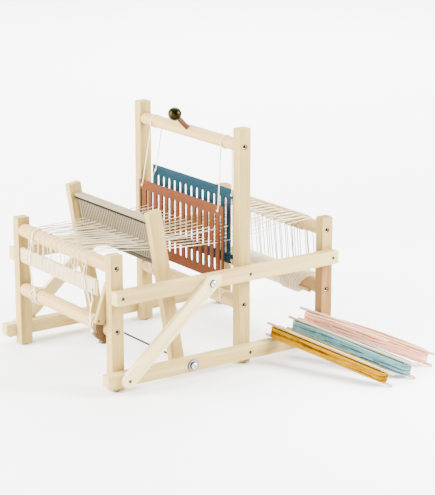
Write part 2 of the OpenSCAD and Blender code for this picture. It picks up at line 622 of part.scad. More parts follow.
// One warp thread: slat, breast beam, heddle eye, back beam, warp beam
function thread_path(i, eye_y, eye_z) = let (x = i * thread_pitch, xf = front_warp_x + i * front_gap,
    top = high_beam_z + wrap_r) concat(
    [[xf, slat_y, slat_z + slat_h + thread_d + 2 * play]], quarter(xf, front_y, 180),
    [[x, spread_y, top + (eye_z - top) * (spread_y - front_y) / (eye_y - front_y)],
        [x, eye_y - 2, eye_z], [x, eye_y + 2, eye_z]],
    quarter(x, back_y, 90), [[x, back_y + roll_wrap_r, low_beam_z]]);
module front_heddle_threads() color(cream) placed()
    for (i = [-side_threads:side_threads]) if (i % 2 != 0)
        tube(thread_path(i, front_heddle_y, front_heddle_z), thread_r);
module back_heddle_threads() color(cream) placed()
    for (i = [-side_threads:side_threads]) if (i % 2 == 0)
        tube(thread_path(i, back_heddle_y, back_heddle_z), thread_r);

// A shuttle's own frame: its lower rod's left end at the origin, the rod along +X
module shuttle_frame(k) translate(rod_start(k)) rotate([0, 0, yaw(k)]) rotate([0, drop(k), 0]) children();
module rod(x, z) translate([x, 0, z]) rotate([0, 90, 0]) cylinder(d = shuttle_rod_d, h = shuttle_l, $fn = 24);
module shuttle(k) placed() shuttle_frame(k) {
    rod(0, 0);
    rod(0, shuttle_gap);
    for (x = [shuttle_end, shuttle_l - shuttle_end])
        translate([x, 0, 0]) cylinder(d = crossbar_d, h = shuttle_gap, $fn = 24);
}
module yarn_core(k) placed() shuttle_frame(k) {
    h = shuttle_gap - shuttle_rod_d - 2 * play;
    translate([0, 0, rod_r + play]) linear_extrude(h) difference() {
        union() {
            translate([shuttle_end, -yarn_core_t / 2]) square([shuttle_l - 2 * shuttle_end, yarn_core_t]);
            for (x = [shuttle_end, shuttle_l - shuttle_end]) translate([x, 0]) circle(d = yarn_core_t, $fn = 48);
        }
        for (x = [shuttle_end, shuttle_l - shuttle_end])
            translate([x, 0]) circle(d = crossbar_d + 2 * fit, $fn = 24);
    }
}
yarn_steps = 2 * (yarn_arc + 1);
yarn_z = (shuttle_gap - yarn_room) / 2;
yarn_wind = [for (i = [0:yarn_steps * yarn_loops]) let (k = i % yarn_steps, s = k > yarn_arc ? -1 : 1,
    a = (k % (yarn_arc + 1)) * 180 / yarn_arc - 90, mid = s > 0 ? shuttle_l - shuttle_end : shuttle_end)
    [mid + s * yarn_wind_r * cos(a), s * yarn_wind_r * sin(a),
        yarn_z + yarn_room * i / (yarn_steps * yarn_loops)]];
module yarn(k) placed() shuttle_frame(k) tube(yarn_wind, yarn_r, [0, 0, 1]);

echo("least gap of the slat winding", least_gap(slat_wind, 6, thread_d));
echo("least gap of the warp layer", least_gap(roll_wind, 8, thread_d));
echo("least gap of a shuttle's yarn", least_gap(yarn_wind, 6, yarn_d));

front_post(-1);  // left_front_post
front_post(1);  // right_front_post
middle_post(-1);  // left_middle_post
middle_post(1);  // right_middle_post
back_post(-1);  // left_back_post
back_post(1);  // right_back_post
top_rail(-1);  // left_top_rail
top_rail(1);  // right_top_rail
low_rail(-1);  // left_low_rail
low_rail(1);  // right_low_rail
brace(-1);  // left_brace
brace(1);  // right_brace
foot_pads();
beam_bolts();
rail_screws();
brace_screws();
brace_bolts();
brace_nuts();
breast_beam();
back_beam();
pivot_rod();
pivot_washers();
pivot_nuts();
heddle_roller();
lever_stem();
lever_knob();
lower_roller();
front_heddle();
back_heddle();
front_heddle_cords();
back_heddle_cords();
sword(-1);  // left_sword
sword(1);  // right_sword
beater_cap();
beater_rail();
reed();
cloth_beam();
ratchet_wheel();
pawl();
pawl_peg();
pawl_screw();
tie_slat();
slat_winding();
tie_cords();
warp_beam();
warp_stick();
warp_roll();
warp_layer();
front_heddle_threads();
back_heddle_threads();
color(wood) shuttle(0);  // orange_shuttle
color(orange) yarn_core(0);  // orange_core
color(orange) yarn(0);  // orange_yarn
color(wood) shuttle(1);  // blue_shuttle
color(yarn_blue) yarn_core(1);  // blue_core
color(yarn_blue) yarn(1);  // blue_yarn
color(wood) shuttle(2);  // pink_shuttle
color(pink) yarn_core(2);  // pink_core
color(pink) yarn(2);  // pink_yarn
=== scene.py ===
import json
import math
import random
import bmesh
import bpy
import numpy as np
from mathutils import Matrix, Vector


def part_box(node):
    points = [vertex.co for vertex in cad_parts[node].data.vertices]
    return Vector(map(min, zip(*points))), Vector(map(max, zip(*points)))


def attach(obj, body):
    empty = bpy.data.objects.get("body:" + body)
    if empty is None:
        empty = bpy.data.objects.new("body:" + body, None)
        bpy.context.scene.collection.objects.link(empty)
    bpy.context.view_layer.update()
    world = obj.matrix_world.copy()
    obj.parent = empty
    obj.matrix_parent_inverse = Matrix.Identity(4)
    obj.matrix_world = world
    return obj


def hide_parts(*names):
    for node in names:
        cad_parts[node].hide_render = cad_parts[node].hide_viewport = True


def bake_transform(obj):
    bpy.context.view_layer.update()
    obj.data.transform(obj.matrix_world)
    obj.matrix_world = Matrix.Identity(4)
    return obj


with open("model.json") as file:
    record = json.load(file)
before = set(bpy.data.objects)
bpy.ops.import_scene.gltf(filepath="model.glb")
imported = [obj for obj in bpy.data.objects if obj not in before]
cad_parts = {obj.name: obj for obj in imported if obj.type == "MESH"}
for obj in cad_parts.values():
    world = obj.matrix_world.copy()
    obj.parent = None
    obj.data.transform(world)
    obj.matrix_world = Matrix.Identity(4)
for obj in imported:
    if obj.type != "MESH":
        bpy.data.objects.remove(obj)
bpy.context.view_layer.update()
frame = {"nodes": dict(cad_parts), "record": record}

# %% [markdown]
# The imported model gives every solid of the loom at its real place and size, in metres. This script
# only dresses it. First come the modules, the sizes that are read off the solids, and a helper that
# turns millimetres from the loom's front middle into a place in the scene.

MM = 0.001
random_numbers = random.Random(7)


def middle(node):
    """The middle of a node's box."""
    low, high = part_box(node)
    return (low + high) / 2


def size(node):
    """The three sides of a node's box."""
    low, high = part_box(node)
    return high - low


loom_x = middle("breast_beam").x
loom_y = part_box("right_front_post")[0].y


def at(x, y, z):
    """A place given in millimetres from the loom's middle, the front posts' faces and the floor."""
    return Vector((loom_x + x * MM, loom_y + y * MM, z * MM))


def wobble(amount):
    """A small random number for what no hand lays quite straight."""
    return random_numbers.uniform(-amount, amount)


breast, back = middle("breast_beam"), middle("back_beam")
cloth, warp = middle("cloth_beam"), middle("warp_beam")
upper_roller, lower_roller = middle("heddle_roller"), middle("lower_roller")
front_board, back_board = middle("front_heddle"), middle("back_heddle")
BEAM_R = size("breast_beam").z / 2
print("breast beam at", [round(v, 4) for v in breast])

# %% [markdown]
# A material is built from a handful of shader nodes. This helper makes the shader and hands back a
# small set of functions, so that each finish below reads as a short recipe. The patterns read
# Object coordinates: every piece lies in the scene's own frame, so no two sticks look the same.

# %% Material helpers


class Recipe:
    """A material under construction: its tree, its shader and its Object coordinates."""

    def __init__(self, name, roughness=0.6, metallic=0.0):
        self.material = bpy.data.materials.new(name)
        self.material.use_nodes = True
        self.tree = self.material.node_tree
        self.shader = self.tree.nodes["Principled BSDF"]
        self.shader.inputs["Roughness"].default_value = roughness
        self.shader.inputs["Metallic"].default_value = metallic
        coordinates = self.tree.nodes.new("ShaderNodeTexCoord")
        self.coordinates = coordinates.outputs["Object"]
        self.facing = coordinates.outputs["Normal"]

    def node(self, kind, **values):
        made = self.tree.nodes.new(kind)
        for name, value in values.items():
            setattr(made, name, value)
        return made

    def link(self, source, target):
        self.tree.links.new(source, target)

    def math(self, operation, a, b, c=0.0):
        """One step of arithmetic on sockets or numbers."""
        made = self.node("ShaderNodeMath", operation=operation)
        for socket, value in zip(made.inputs, (a, b, c)):
            if isinstance(value, (int, float)):
                socket.default_value = value
            else:
                self.link(value, socket)
        return made.outputs[0]

    def stretched(self, scale):
        mapping = self.node("ShaderNodeMapping")
        mapping.inputs["Scale"].default_value = scale
        self.link(self.coordinates, mapping.inputs["Vector"])
        return mapping.outputs["Vector"]

    def noise(self, vector, scale, detail=3.0, distortion=0.0):
        noise = self.node("ShaderNodeTexNoise")
        noise.inputs["Scale"].default_value = scale
        noise.inputs["Detail"].default_value = detail
        noise.inputs["Distortion"].default_value = distortion
        self.link(vector, noise.inputs["Vector"])
        return noise.outputs["Fac"]

    def ramp(self, factor, stops):
        ramp = self.node("ShaderNodeValToRGB")
        band = ramp.color_ramp
        while len(band.elements) < len(stops):
            band.elements.new(0.5)
        for element, (place, colour) in zip(band.elements, stops):
            element.position = place
            element.color = (*colour, 1)
        self.link(factor, ramp.inputs["Fac"])
        return ramp.outputs["Color"]

    def mixed(self, factor, a, b):
        mix = self.node("ShaderNodeMix", data_type="RGBA")
        self.link(factor, mix.inputs["Factor"])
        colours = [socket for socket in mix.inputs if socket.type == "RGBA"]
        self.link(a, colours[0])
        self.link(b, colours[1])
        return [socket for socket in mix.outputs if socket.type == "RGBA"][0]

    def bump(self, height, strength, distance):
        bump = self.node("ShaderNodeBump")
        bump.inputs["Strength"].default_value = strength
        bump.inputs["Distance"].default_value = distance
        self.link(height, bump.inputs["Height"])
        self.link(bump.outputs["Normal"], self.shader.inputs["Normal"])

    def colour(self, output):
        self.link(output, self.shader.inputs["Base Color"])


print("recipes ready")

# %% [markdown]
# Wood is mostly its grain: fine fibres along the stick, wider bands where the growth rings are cut
# lengthwise, and arcs of the same rings on the sawn ends. A photograph of wood would give all this
# at once, but it would stretch on every new stick. Stretched noise costs nothing and fits them all,
# so there is one material for each of the three directions that a stick can have. The rails and
# braces are the palest planks and the posts are a little darker. The two back posts are warmer, and below the upper
# rail they are painted much darker as shade. The warp beam is a darker copy of the turned wood, painted shade.

# %% Wood


def blended(a, b, share):
    """A colour on the way from one to another."""
    return tuple(p + (q - p) * share for p, q in zip(a, b))


def wood(name, axis, light, dark, roughness=0.55, slant=0.0, above=None):
    """A wood whose grain runs along one axis, 0 to 2, or rises at a slant from it.

    Where above is a height and two more colours, the wood turns to those round that height.
    """
    recipe = Recipe(name, roughness)
    recipe.shader.inputs["Specular IOR Level"].default_value = 0.15
    if slant:
        turned = recipe.node("ShaderNodeMapping")
        turned.inputs["Rotation"].default_value = (-slant, 0, 0)
        recipe.link(recipe.coordinates, turned.inputs["Vector"])
        recipe.coordinates = turned.outputs["Vector"]
    fibre_scale, ring_scale, patch_scale = [190.0] * 3, [55.0] * 3, [14.0] * 3
    fibre_scale[axis], ring_scale[axis], patch_scale[axis] = 7.0, 2.2, 3.0
    fibres = recipe.noise(recipe.stretched(fibre_scale), 1.0, 4.0, 0.3)
    rings = recipe.noise(recipe.stretched(ring_scale), 1.0, 2.0, 1.2)
    patches = recipe.noise(recipe.stretched(patch_scale), 1.0, 1.0)
    grain = recipe.math("MULTIPLY_ADD", fibres, 0.45, recipe.math("MULTIPLY", rings, 0.75))
    grain = recipe.math("MULTIPLY_ADD", patches, 0.25, grain)
    stops = [(0.52, light), (0.70, blended(light, dark, 0.25)), (0.80, blended(light, dark, 0.6)), (0.95, dark)]
    side = recipe.ramp(grain, stops)
    if above:
        height, upper_light, upper_dark = above
        place = recipe.node("ShaderNodeSeparateXYZ")
        recipe.link(recipe.coordinates, place.inputs[0])
        share = recipe.math("MULTIPLY_ADD", place.outputs["Z"], 1 / TURNING, 0.5 - height / TURNING)
        upper = recipe.ramp(grain, [(0.52, upper_light), (0.95, upper_dark)])
        side = recipe.mixed(share, side, upper)
    arcs = recipe.node("ShaderNodeTexWave", wave_type="RINGS", rings_direction="XYZ"[axis])
    arcs.inputs["Scale"].default_value = 95.0
    arcs.inputs["Distortion"].default_value = 2.0
    arcs.inputs["Detail"].default_value = 2.0
    recipe.link(recipe.coordinates, arcs.inputs["Vector"])
    end = recipe.ramp(arcs.outputs["Fac"], [(0.1, blended(light, dark, 0.75)), (0.8, blended(light, dark, 0.3))])
    parts = recipe.node("ShaderNodeSeparateXYZ")
    recipe.link(recipe.facing, parts.inputs[0])
    on_end = recipe.math("GREATER_THAN", recipe.math("ABSOLUTE", parts.outputs[axis], 0.0), 0.85)
    recipe.colour(recipe.mixed(on_end, side, end))
    recipe.bump(fibres, 0.15, 0.0004)
    return recipe.material


TURNING = 40 * MM
POST_LIGHT, POST_DARK = (0.385, 0.275, 0.086), (0.265, 0.17, 0.048)
RAIL_LIGHT, RAIL_DARK = (0.51, 0.385, 0.14), (0.37, 0.25, 0.08)
BRACE_LIGHT, BRACE_DARK = (0.72, 0.60, 0.29), (0.54, 0.41, 0.175)
POST_SHADE_LIGHT, POST_SHADE_DARK = (0.23, 0.124, 0.034), (0.135, 0.067, 0.018)
TURNED_LIGHT, TURNED_DARK = (0.46, 0.305, 0.112), (0.33, 0.19, 0.063)
ROD_LIGHT, ROD_DARK = (0.50, 0.40, 0.24), (0.38, 0.29, 0.16)
STICK_LIGHT, STICK_DARK = (0.42, 0.27, 0.11), (0.30, 0.18, 0.07)
BROWN_LIGHT, BROWN_DARK = (0.13, 0.07, 0.028), (0.06, 0.03, 0.012)
brace_size = size("right_brace")
birch = [wood("Birch along X", 0, RAIL_LIGHT, RAIL_DARK), wood("Birch along Y", 1, RAIL_LIGHT, RAIL_DARK),
         wood("Birch along Z", 2, POST_LIGHT, POST_DARK)]
# The back posts get painted shade: below 140 mm, under the upper rail, they turn to a much darker, warmer tone.
low_shaded_birch = wood("Birch in painted shade below the rail", 2, POST_SHADE_LIGHT, POST_SHADE_DARK, above=(140 * MM, POST_LIGHT, POST_DARK))
rod_wood = wood("Shuttle rods", 0, ROD_LIGHT, ROD_DARK)
stick_wood = wood("Stick", 0, STICK_LIGHT, STICK_DARK)
brace_wood = wood("Birch on the slant", 1, BRACE_LIGHT, BRACE_DARK, slant=math.atan2(brace_size.z, brace_size.y))
turned_wood = wood("Turned birch", 0, TURNED_LIGHT, TURNED_DARK)
# The warp beam's wood is a darker copy of the turned birch: painted shade, where the side rail shades it.
shaded_turned_wood = wood("Turned birch in painted shade", 0, (0.30, 0.175, 0.055), (0.19, 0.10, 0.03))
brown_wood = [wood("Brown wood along " + "XYZ"[i], i, BROWN_LIGHT, BROWN_DARK) for i in range(3)]
print("woods:", len(birch) + len(brown_wood) + 6)

# %% [markdown]
# The steel, the painted boards and the knob are nearly even, with a fine grain and a slight bump so
# that a close look still finds something.

# %% Metal, paint and lacquer


def plain(name, colour, roughness, metallic=0.0, speck=0.06, scale=300.0, depth=0.0001, coat=0.0, gloss=0.5):
    """A nearly even finish with a fine grain in its colour and a slight bump."""
    recipe = Recipe(name, roughness, metallic)
    recipe.shader.inputs["Specular IOR Level"].default_value = gloss
    grain = recipe.noise(recipe.coordinates, scale, 3.0)
    low = [c * (1 - speck) for c in colour]
    high = [min(1, c * (1 + speck)) for c in colour]
    recipe.colour(recipe.ramp(grain, [(0.3, low), (0.7, high)]))
    recipe.bump(grain, 0.15, depth)
    if coat:
        recipe.shader.inputs["Coat Weight"].default_value = coat
        recipe.shader.inputs["Coat Roughness"].default_value = 0.08
    return recipe.material


def shade_sided(name, front, side):
    """A finish with painted shade on the faces that look left and right, for the shade between close blades."""
    recipe = Recipe(name, 0.5)
    parts = recipe.node("ShaderNodeSeparateXYZ")
    recipe.link(recipe.facing, parts.inputs[0])
    sideways = recipe.math("ABSOLUTE", parts.outputs["X"], 0.0)
    recipe.colour(recipe.ramp(sideways, [(0.4, front), (0.7, side)]))
    recipe.shader.inputs["Specular IOR Level"].default_value = 0.3
    return recipe.material


bright_steel = plain("Bright steel", (0.72, 0.72, 0.74), 0.22, 1.0, 0.03, 900.0)
# Painted shade: the beam bolts' heads are steel painted nearly black, for the shade deep in their pockets.
pocket_shade_steel = plain("Bolt steel", (0.012, 0.011, 0.010), 0.4, 1.0, 0.1, 900.0)
dark_steel = plain("Dark steel", (0.030, 0.030, 0.033), 0.5, 0.6, 0.08, 700.0, gloss=0.2)
copper_steel = plain("Copper brown steel", (0.08, 0.028, 0.0105), 0.35, 0.3, 0.12, 500.0, gloss=0.3)
knob_lacquer = plain("Dark olive lacquer", (0.016, 0.0125, 0.003), 0.28, 1.0, 0.35, 130.0)
pad_rubber = plain("Pad", (0.05, 0.035, 0.025), 0.8, 0.0, 0.15, 900.0)
coral_paint = plain("Coral board", (0.095, 0.033, 0.0155), 0.8, 0.0, 0.06, 220.0, gloss=0.0)
blue_paint = plain("Blue board", (0.0115, 0.030, 0.040), 0.8, 0.0, 0.08, 220.0, gloss=0.0)
cap_finish = plain("Reed cap", (0.17, 0.135, 0.07), 0.6, 0.0, 0.08, 400.0, gloss=0.3)
reed_bar = plain("Reed bar", (0.12, 0.095, 0.047), 0.6, 0.0, 0.08, 400.0, gloss=0.3)
reed_shade = plain("Reed rail in shade", (0.042, 0.034, 0.020), 0.7, 0.0, 0.10, 400.0, gloss=0.2)
reed_slit = plain("Dark slit", (0.006, 0.005, 0.004), 0.9, 0.0, 0.10, 400.0, gloss=0.1)
# The blades' sides are painted dark as shade, for the narrow gaps between blades.
reed_blade = shade_sided("Reed blade", (0.14, 0.11, 0.055), (0.040, 0.032, 0.016))
print("materials:", len(bpy.data.materials))

# %% [markdown]
# Yarn is twisted fibre. Each thread below carries a number named along, its length from its start,
# so its twist can follow it round every bend: stripes by that length, shifted by which way the
# surface faces, slant round the thread. A little sheen stands for the loose fibres.

# %% Yarn


def yarn(name, light, dark, twist=2.2 * MM, depth=0.00025, shaded_laps=0.0, sheen=0.15):
    """Twisted yarn: stripes that follow the thread, patches along it, and sheen.

    Where a lap length is given, each stretch of about that length has a tone of its own, and the darkest stretches are
    painted shade for the grooves between strands.
    """
    recipe = Recipe(name, roughness=0.85)
    along = recipe.node("ShaderNodeAttribute", attribute_name="along").outputs["Fac"]
    lean = recipe.node("ShaderNodeVectorMath", operation="DOT_PRODUCT")
    recipe.link(recipe.facing, lean.inputs[0])
    lean.inputs[1].default_value = (0.6, 0.5, 0.62)
    turn = recipe.math("MULTIPLY_ADD", lean.outputs["Value"], 2.4, recipe.math("MULTIPLY", along, 2 * math.pi / twist))
    stripe = recipe.math("MULTIPLY_ADD", recipe.math("SINE", turn, 0.0), 0.5, 0.5)
    patch = recipe.noise(recipe.coordinates, 140.0, 2.0)
    shade = recipe.math("MULTIPLY_ADD", stripe, 0.40, recipe.math("MULTIPLY", patch, 0.80))
    # Painted shade: the laps whose random value is low turn dark, for the grooves between strands; the rest vary in
    # tone.
    if shaded_laps:
        lap = recipe.node("ShaderNodeTexWhiteNoise", noise_dimensions="1D")
        recipe.link(recipe.math("FLOOR", recipe.math("DIVIDE", along, shaded_laps), 0.0), lap.inputs["W"])
        shade = recipe.math("MULTIPLY_ADD", lap.outputs["Value"], 0.75, recipe.math("MULTIPLY_ADD", shade, 0.55, -0.20))
    recipe.colour(recipe.ramp(shade, [(0.22, dark), (0.50, blended(dark, light, 0.75)), (0.75, light)]))
    recipe.bump(stripe, 0.35, depth)
    recipe.shader.inputs["Sheen Weight"].default_value = sheen
    recipe.shader.inputs["Sheen Roughness"].default_value = 0.4
    recipe.shader.inputs["Specular IOR Level"].default_value = sheen
    return recipe.material


cotton = yarn("Cotton thread", (0.72, 0.62, 0.42), (0.44, 0.34, 0.19))
cream_cotton = yarn("Cream cotton", (0.60, 0.50, 0.31), (0.35, 0.27, 0.14))
warm_cotton = yarn("Warm cotton", (0.60, 0.42, 0.24), (0.33, 0.20, 0.09))
shade_cotton = yarn("Cotton in shade", (0.33, 0.29, 0.20), (0.15, 0.12, 0.075))
# Painted shade: a grey cotton for the threads behind the loom, which show only their shaded side.
shade_grey_cotton = yarn("Grey thread", (0.11, 0.10, 0.078), (0.05, 0.045, 0.033))
LAP = 190 * MM
COLOURS = {"orange": ((0.30, 0.150, 0.0), (0.06, 0.018, 0.0)), "blue": ((0.16, 0.33, 0.35), (0.02, 0.045, 0.055)),
           "pink": ((0.95, 0.50, 0.34), (0.45, 0.14, 0.07))}
wools = {name: yarn(name.capitalize() + " yarn", *pair, shaded_laps=LAP, sheen=0.0) for name, pair in COLOURS.items()}
shaded = {name: yarn(name.capitalize() + " yarn in shade", blended(dark, light, 0.25), blended(dark, (0, 0, 0), 0.35),
                     sheen=0.0)
          for name, (light, dark) in COLOURS.items()}
print("yarns:", 5 + 2 * len(wools))

# %% [markdown]
# The camera stands to the loom's front right, a little above it, as in the photograph. Its place
# comes from fitting the frame's edges, so it is written as a place, an aim and a lens.

# %% Camera
AZIMUTH, ELEVATION = math.radians(54.9), math.radians(15.2)
LENS = 134.3
aim = Vector((-math.sin(AZIMUTH) * math.cos(ELEVATION), math.cos(AZIMUTH) * math.cos(ELEVATION),
              -math.sin(ELEVATION)))
camera_data = bpy.data.cameras.new("Camera")
camera_data.lens = LENS
camera_data.sensor_width = 36.0
camera = bpy.data.objects.new("Camera", camera_data)
camera.location = at(2176, -1259, 858)
camera.rotation_euler = aim.to_track_quat("-Z", "Y").to_euler()
bpy.context.collection.objects.link(camera)
bpy.context.scene.camera = camera
print("camera looks along", [round(v, 3) for v in aim])

# %% [markdown]
# A pale floor and big soft lights, as in a studio. The main light comes from the front left, so the
# posts' front faces are a little brighter than their right sides. A smaller one stands close by on
# the right, behind, and lifts the sides of whatever is high up and far back.

# %% Floor and light


def new_piece(name, data):
    """An object at the origin, linked to the scene."""
    made = bpy.data.objects.new(name, data)
    bpy.context.collection.objects.link(made)
    return made


FLOOR_HALF = 6.0
floor_data = bpy.data.meshes.new("Floor")
corners = [(-FLOOR_HALF, -FLOOR_HALF, 0), (FLOOR_HALF, -FLOOR_HALF, 0), (FLOOR_HALF, FLOOR_HALF, 0),
           (-FLOOR_HALF, FLOOR_HALF, 0)]
floor_data.from_pydata(corners, [], [(0, 1, 2, 3)])
floor = new_piece("Floor", floor_data)
floor_data.materials.append(plain("Floor", (0.94, 0.94, 0.94), 0.9, 0.0, 0.005, 2.0))

world = bpy.data.worlds.new("Studio")
bpy.context.scene.world = world
world.use_nodes = True
HORIZON, OVERHEAD = 0.3, 4.0
nodes, links = world.node_tree.nodes, world.node_tree.links
direction = nodes.new("ShaderNodeTexCoord")
parts = nodes.new("ShaderNodeSeparateXYZ")
links.new(direction.outputs["Generated"], parts.inputs[0])
rise = nodes.new("ShaderNodeMath")
rise.operation = "POWER"
rise.use_clamp = True
rise.inputs[1].default_value = 4.0
links.new(parts.outputs["Z"], rise.inputs[0])
strength = nodes.new("ShaderNodeMath")
strength.operation = "MULTIPLY_ADD"
strength.inputs[1].default_value = OVERHEAD
strength.inputs[2].default_value = HORIZON
links.new(rise.outputs[0], strength.inputs[0])
links.new(strength.outputs[0], nodes["Background"].inputs["Strength"])
nodes["Background"].inputs["Color"].default_value = (1, 1, 1, 1)


def soft_light(name, place, power, side, down=False):
    data = bpy.data.lights.new(name, "AREA")
    data.energy = power
    data.size = side
    light = new_piece(name, data)
    light.location = place
    if not down:
        light.rotation_euler = (Vector((0, 0, 0.1)) - Vector(place)).to_track_quat("-Z", "Y").to_euler()


soft_light("Key", (-0.9, -2.2, 0.9), 480, 2.0)
soft_light("Low", (0.9, -1.6, 0.35), 30, 1.0)
soft_light("Rear", (1.2, 1.7, 1.5), 60, 1.4)
soft_light("Side", (0.65, 0.60, 0.62), 46, 0.5)
soft_light("Backdrop", (-2.2, 1.8, 2.0), 520, 3.0, down=True)
print("lights:", len(bpy.data.lights))

# %% [markdown]
# Everything soft here is thread, and the reed and the screws repeat one shape. Both are work for
# Geometry Nodes: a tree with named inputs grows the shape from points, and its result becomes a
# plain mesh. These two helpers start such a tree and turn its result into a piece.

# %% Geometry Nodes helpers


def new_tree(name, sockets):
    """A geometry tree with named inputs, and its two ends."""
    tree = bpy.data.node_groups.new(name, "GeometryNodeTree")
    tree.interface.new_socket("Geometry", in_out="INPUT", socket_type="NodeSocketGeometry")
    for socket, kind in sockets.items():
        tree.interface.new_socket(socket, in_out="INPUT", socket_type="NodeSocket" + kind)
    tree.interface.new_socket("Geometry", in_out="OUTPUT", socket_type="NodeSocketGeometry")
    return tree, tree.nodes.new("NodeGroupInput"), tree.nodes.new("NodeGroupOutput")


def finished_tree(tree, inputs, end, geometry):
    """Closes a tree: the instances made real, and the material set."""
    real = tree.nodes.new("GeometryNodeRealizeInstances")
    paint = tree.nodes.new("GeometryNodeSetMaterial")
    tree.links.new(geometry, real.inputs["Geometry"])
    tree.links.new(real.outputs["Geometry"], paint.inputs["Geometry"])
    tree.links.new(inputs.outputs["Material"], paint.inputs["Material"])
    tree.links.new(paint.outputs["Geometry"], end.inputs["Geometry"])
    return tree


def grown(source, tree, values):
    """The plain mesh piece that a tree makes of a source object, which it takes the place of."""
    modifier = source.modifiers.new(tree.name, "NODES")
    modifier.node_group = tree
    for item in tree.interface.items_tree:
        if item.item_type == "SOCKET" and item.in_out == "INPUT" and item.name in values:
            modifier[item.identifier] = values[item.name]
    graph = bpy.context.evaluated_depsgraph_get()
    data = bpy.data.meshes.new_from_object(source.evaluated_get(graph), preserve_all_data_layers=True, depsgraph=graph)
    name = source.name
    bpy.data.objects.remove(source)
    mesh = bmesh.new()
    mesh.from_mesh(data)
    bmesh.ops.recalc_face_normals(mesh, faces=mesh.faces)
    mesh.to_mesh(data)
    mesh.free()
    return new_piece(name, data)


print("tree helpers ready")

# %% [markdown]
# A thread is a round section carried along a path. The curve's points are the path, and Curve to
# Mesh carries the section. The tree also writes the length along each thread, for its twist. A
# bevelled curve object would look the same, but it couldn't keep that number.

# %% Thread tree
thread_tree, inputs, end = new_tree("Thread", {"Radius": "Float", "Sides": "Int", "Material": "Material"})
nodes, links = thread_tree.nodes, thread_tree.links
length = nodes.new("GeometryNodeSplineParameter")
store = nodes.new("GeometryNodeStoreNamedAttribute")
store.inputs["Name"].default_value = "along"
section = nodes.new("GeometryNodeCurvePrimitiveCircle")
sweep = nodes.new("GeometryNodeCurveToMesh")
sweep.inputs["Fill Caps"].default_value = True
links.new(inputs.outputs["Geometry"], store.inputs["Geometry"])
links.new(length.outputs["Length"], store.inputs["Value"])
links.new(inputs.outputs["Sides"], section.inputs["Resolution"])
links.new(inputs.outputs["Radius"], section.inputs["Radius"])
links.new(store.outputs["Geometry"], sweep.inputs["Curve"])
links.new(section.outputs["Curve"], sweep.inputs["Profile Curve"])
finished_tree(thread_tree, inputs, end, sweep.outputs["Mesh"])


def strands(name, routes, radius, material, body=None, sides=6):
    """One piece of many threads, each along its own points."""
    curve = bpy.data.curves.new(name, "CURVE")
    curve.dimensions = "3D"
    for route in routes:
        spline = curve.splines.new("POLY")
        spline.points.add(len(route) - 1)
        for point, place in zip(spline.points, route):
            point.co = (*place, 1)
    piece = grown(new_piece(name, curve), thread_tree, {"Radius": radius, "Sides": sides, "Material": material})
    for face in piece.data.polygons:
        face.use_smooth = True
    piece.data.set_sharp_from_angle(angle=math.radians(75))
    if body:
        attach(piece, body)
    return piece


def line(a, b, steps, sag=0.0):
    """Points from a to b, with a slight sag."""
    a, b = Vector(a), Vector(b)
    return [a.lerp(b, i / steps) - Vector((0, 0, sag * 4 * (i / steps) * (1 - i / steps))) for i in range(steps + 1)]


def helix(x0, x1, axis, radius, turns, steps=20, start=0.0, rough=0.0):
    """Points of a winding round a beam, from one place along it to another."""
    count = int(turns * steps)
    route = []
    for i in range(count + 1):
        a = start + 2 * math.pi * i / steps
        r = radius + wobble(rough)
        route.append(Vector((loom_x + (x0 + (x1 - x0) * i / count) * MM, axis.y + r * math.cos(a), axis.z + r * math.sin(a))))
    return route


def knot(place, reach):
    """The points of a small overhand knot."""
    route = []
    for i in range(37):
        t = 2 * math.pi * i / 36
        wide = 2 + math.cos(3 * t)
        route.append(place + reach / 3 * Vector((wide * math.cos(2 * t), math.sin(3 * t), wide * math.sin(2 * t))))
    return route


THREAD_R, CORD_R, GAP = 0.7 * MM, 0.75 * MM, 0.3 * MM
print("thread tree has", len(nodes), "nodes")

# %% [markdown]
# A sanded stick has no sharp edge, and a render shows it at once. So each wooden solid is copied,
# its flat faces are joined again, and its edges get a small round. The steel and the two boards
# keep the solids' own shape, and the boards only lose the sharpness of their edges.

# %% Rounded copies of the solids


def carried(node, material, body, rounding=0.0, smooth=False):
    """A copy of a node with rounded edges that stands for it."""
    mesh = bmesh.new()
    mesh.from_mesh(frame["nodes"][node].data)
    bmesh.ops.remove_doubles(mesh, verts=mesh.verts, dist=1e-6)
    bmesh.ops.dissolve_limit(mesh, angle_limit=math.radians(0.5), verts=mesh.verts, edges=mesh.edges)
    data = bpy.data.meshes.new(node + "_look")
    mesh.to_mesh(data)
    mesh.free()
    piece = new_piece(node + "_look", data)
    if rounding:
        bevel = piece.modifiers.new("Rounding", "BEVEL")
        bevel.width = rounding
        bevel.segments = 2
        bevel.limit_method = "ANGLE"
        bevel.angle_limit = math.radians(50)
        evaluated = piece.evaluated_get(bpy.context.evaluated_depsgraph_get())
        rounded = bpy.data.meshes.new_from_object(evaluated)
        piece.modifiers.clear()
        piece.data = rounded
    for face in piece.data.polygons:
        face.use_smooth = True
    piece.data.set_sharp_from_angle(angle=math.radians(80 if smooth else 30))
    piece.data.materials.clear()
    piece.data.materials.append(material)
    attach(piece, body)
    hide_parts(node)
    return piece


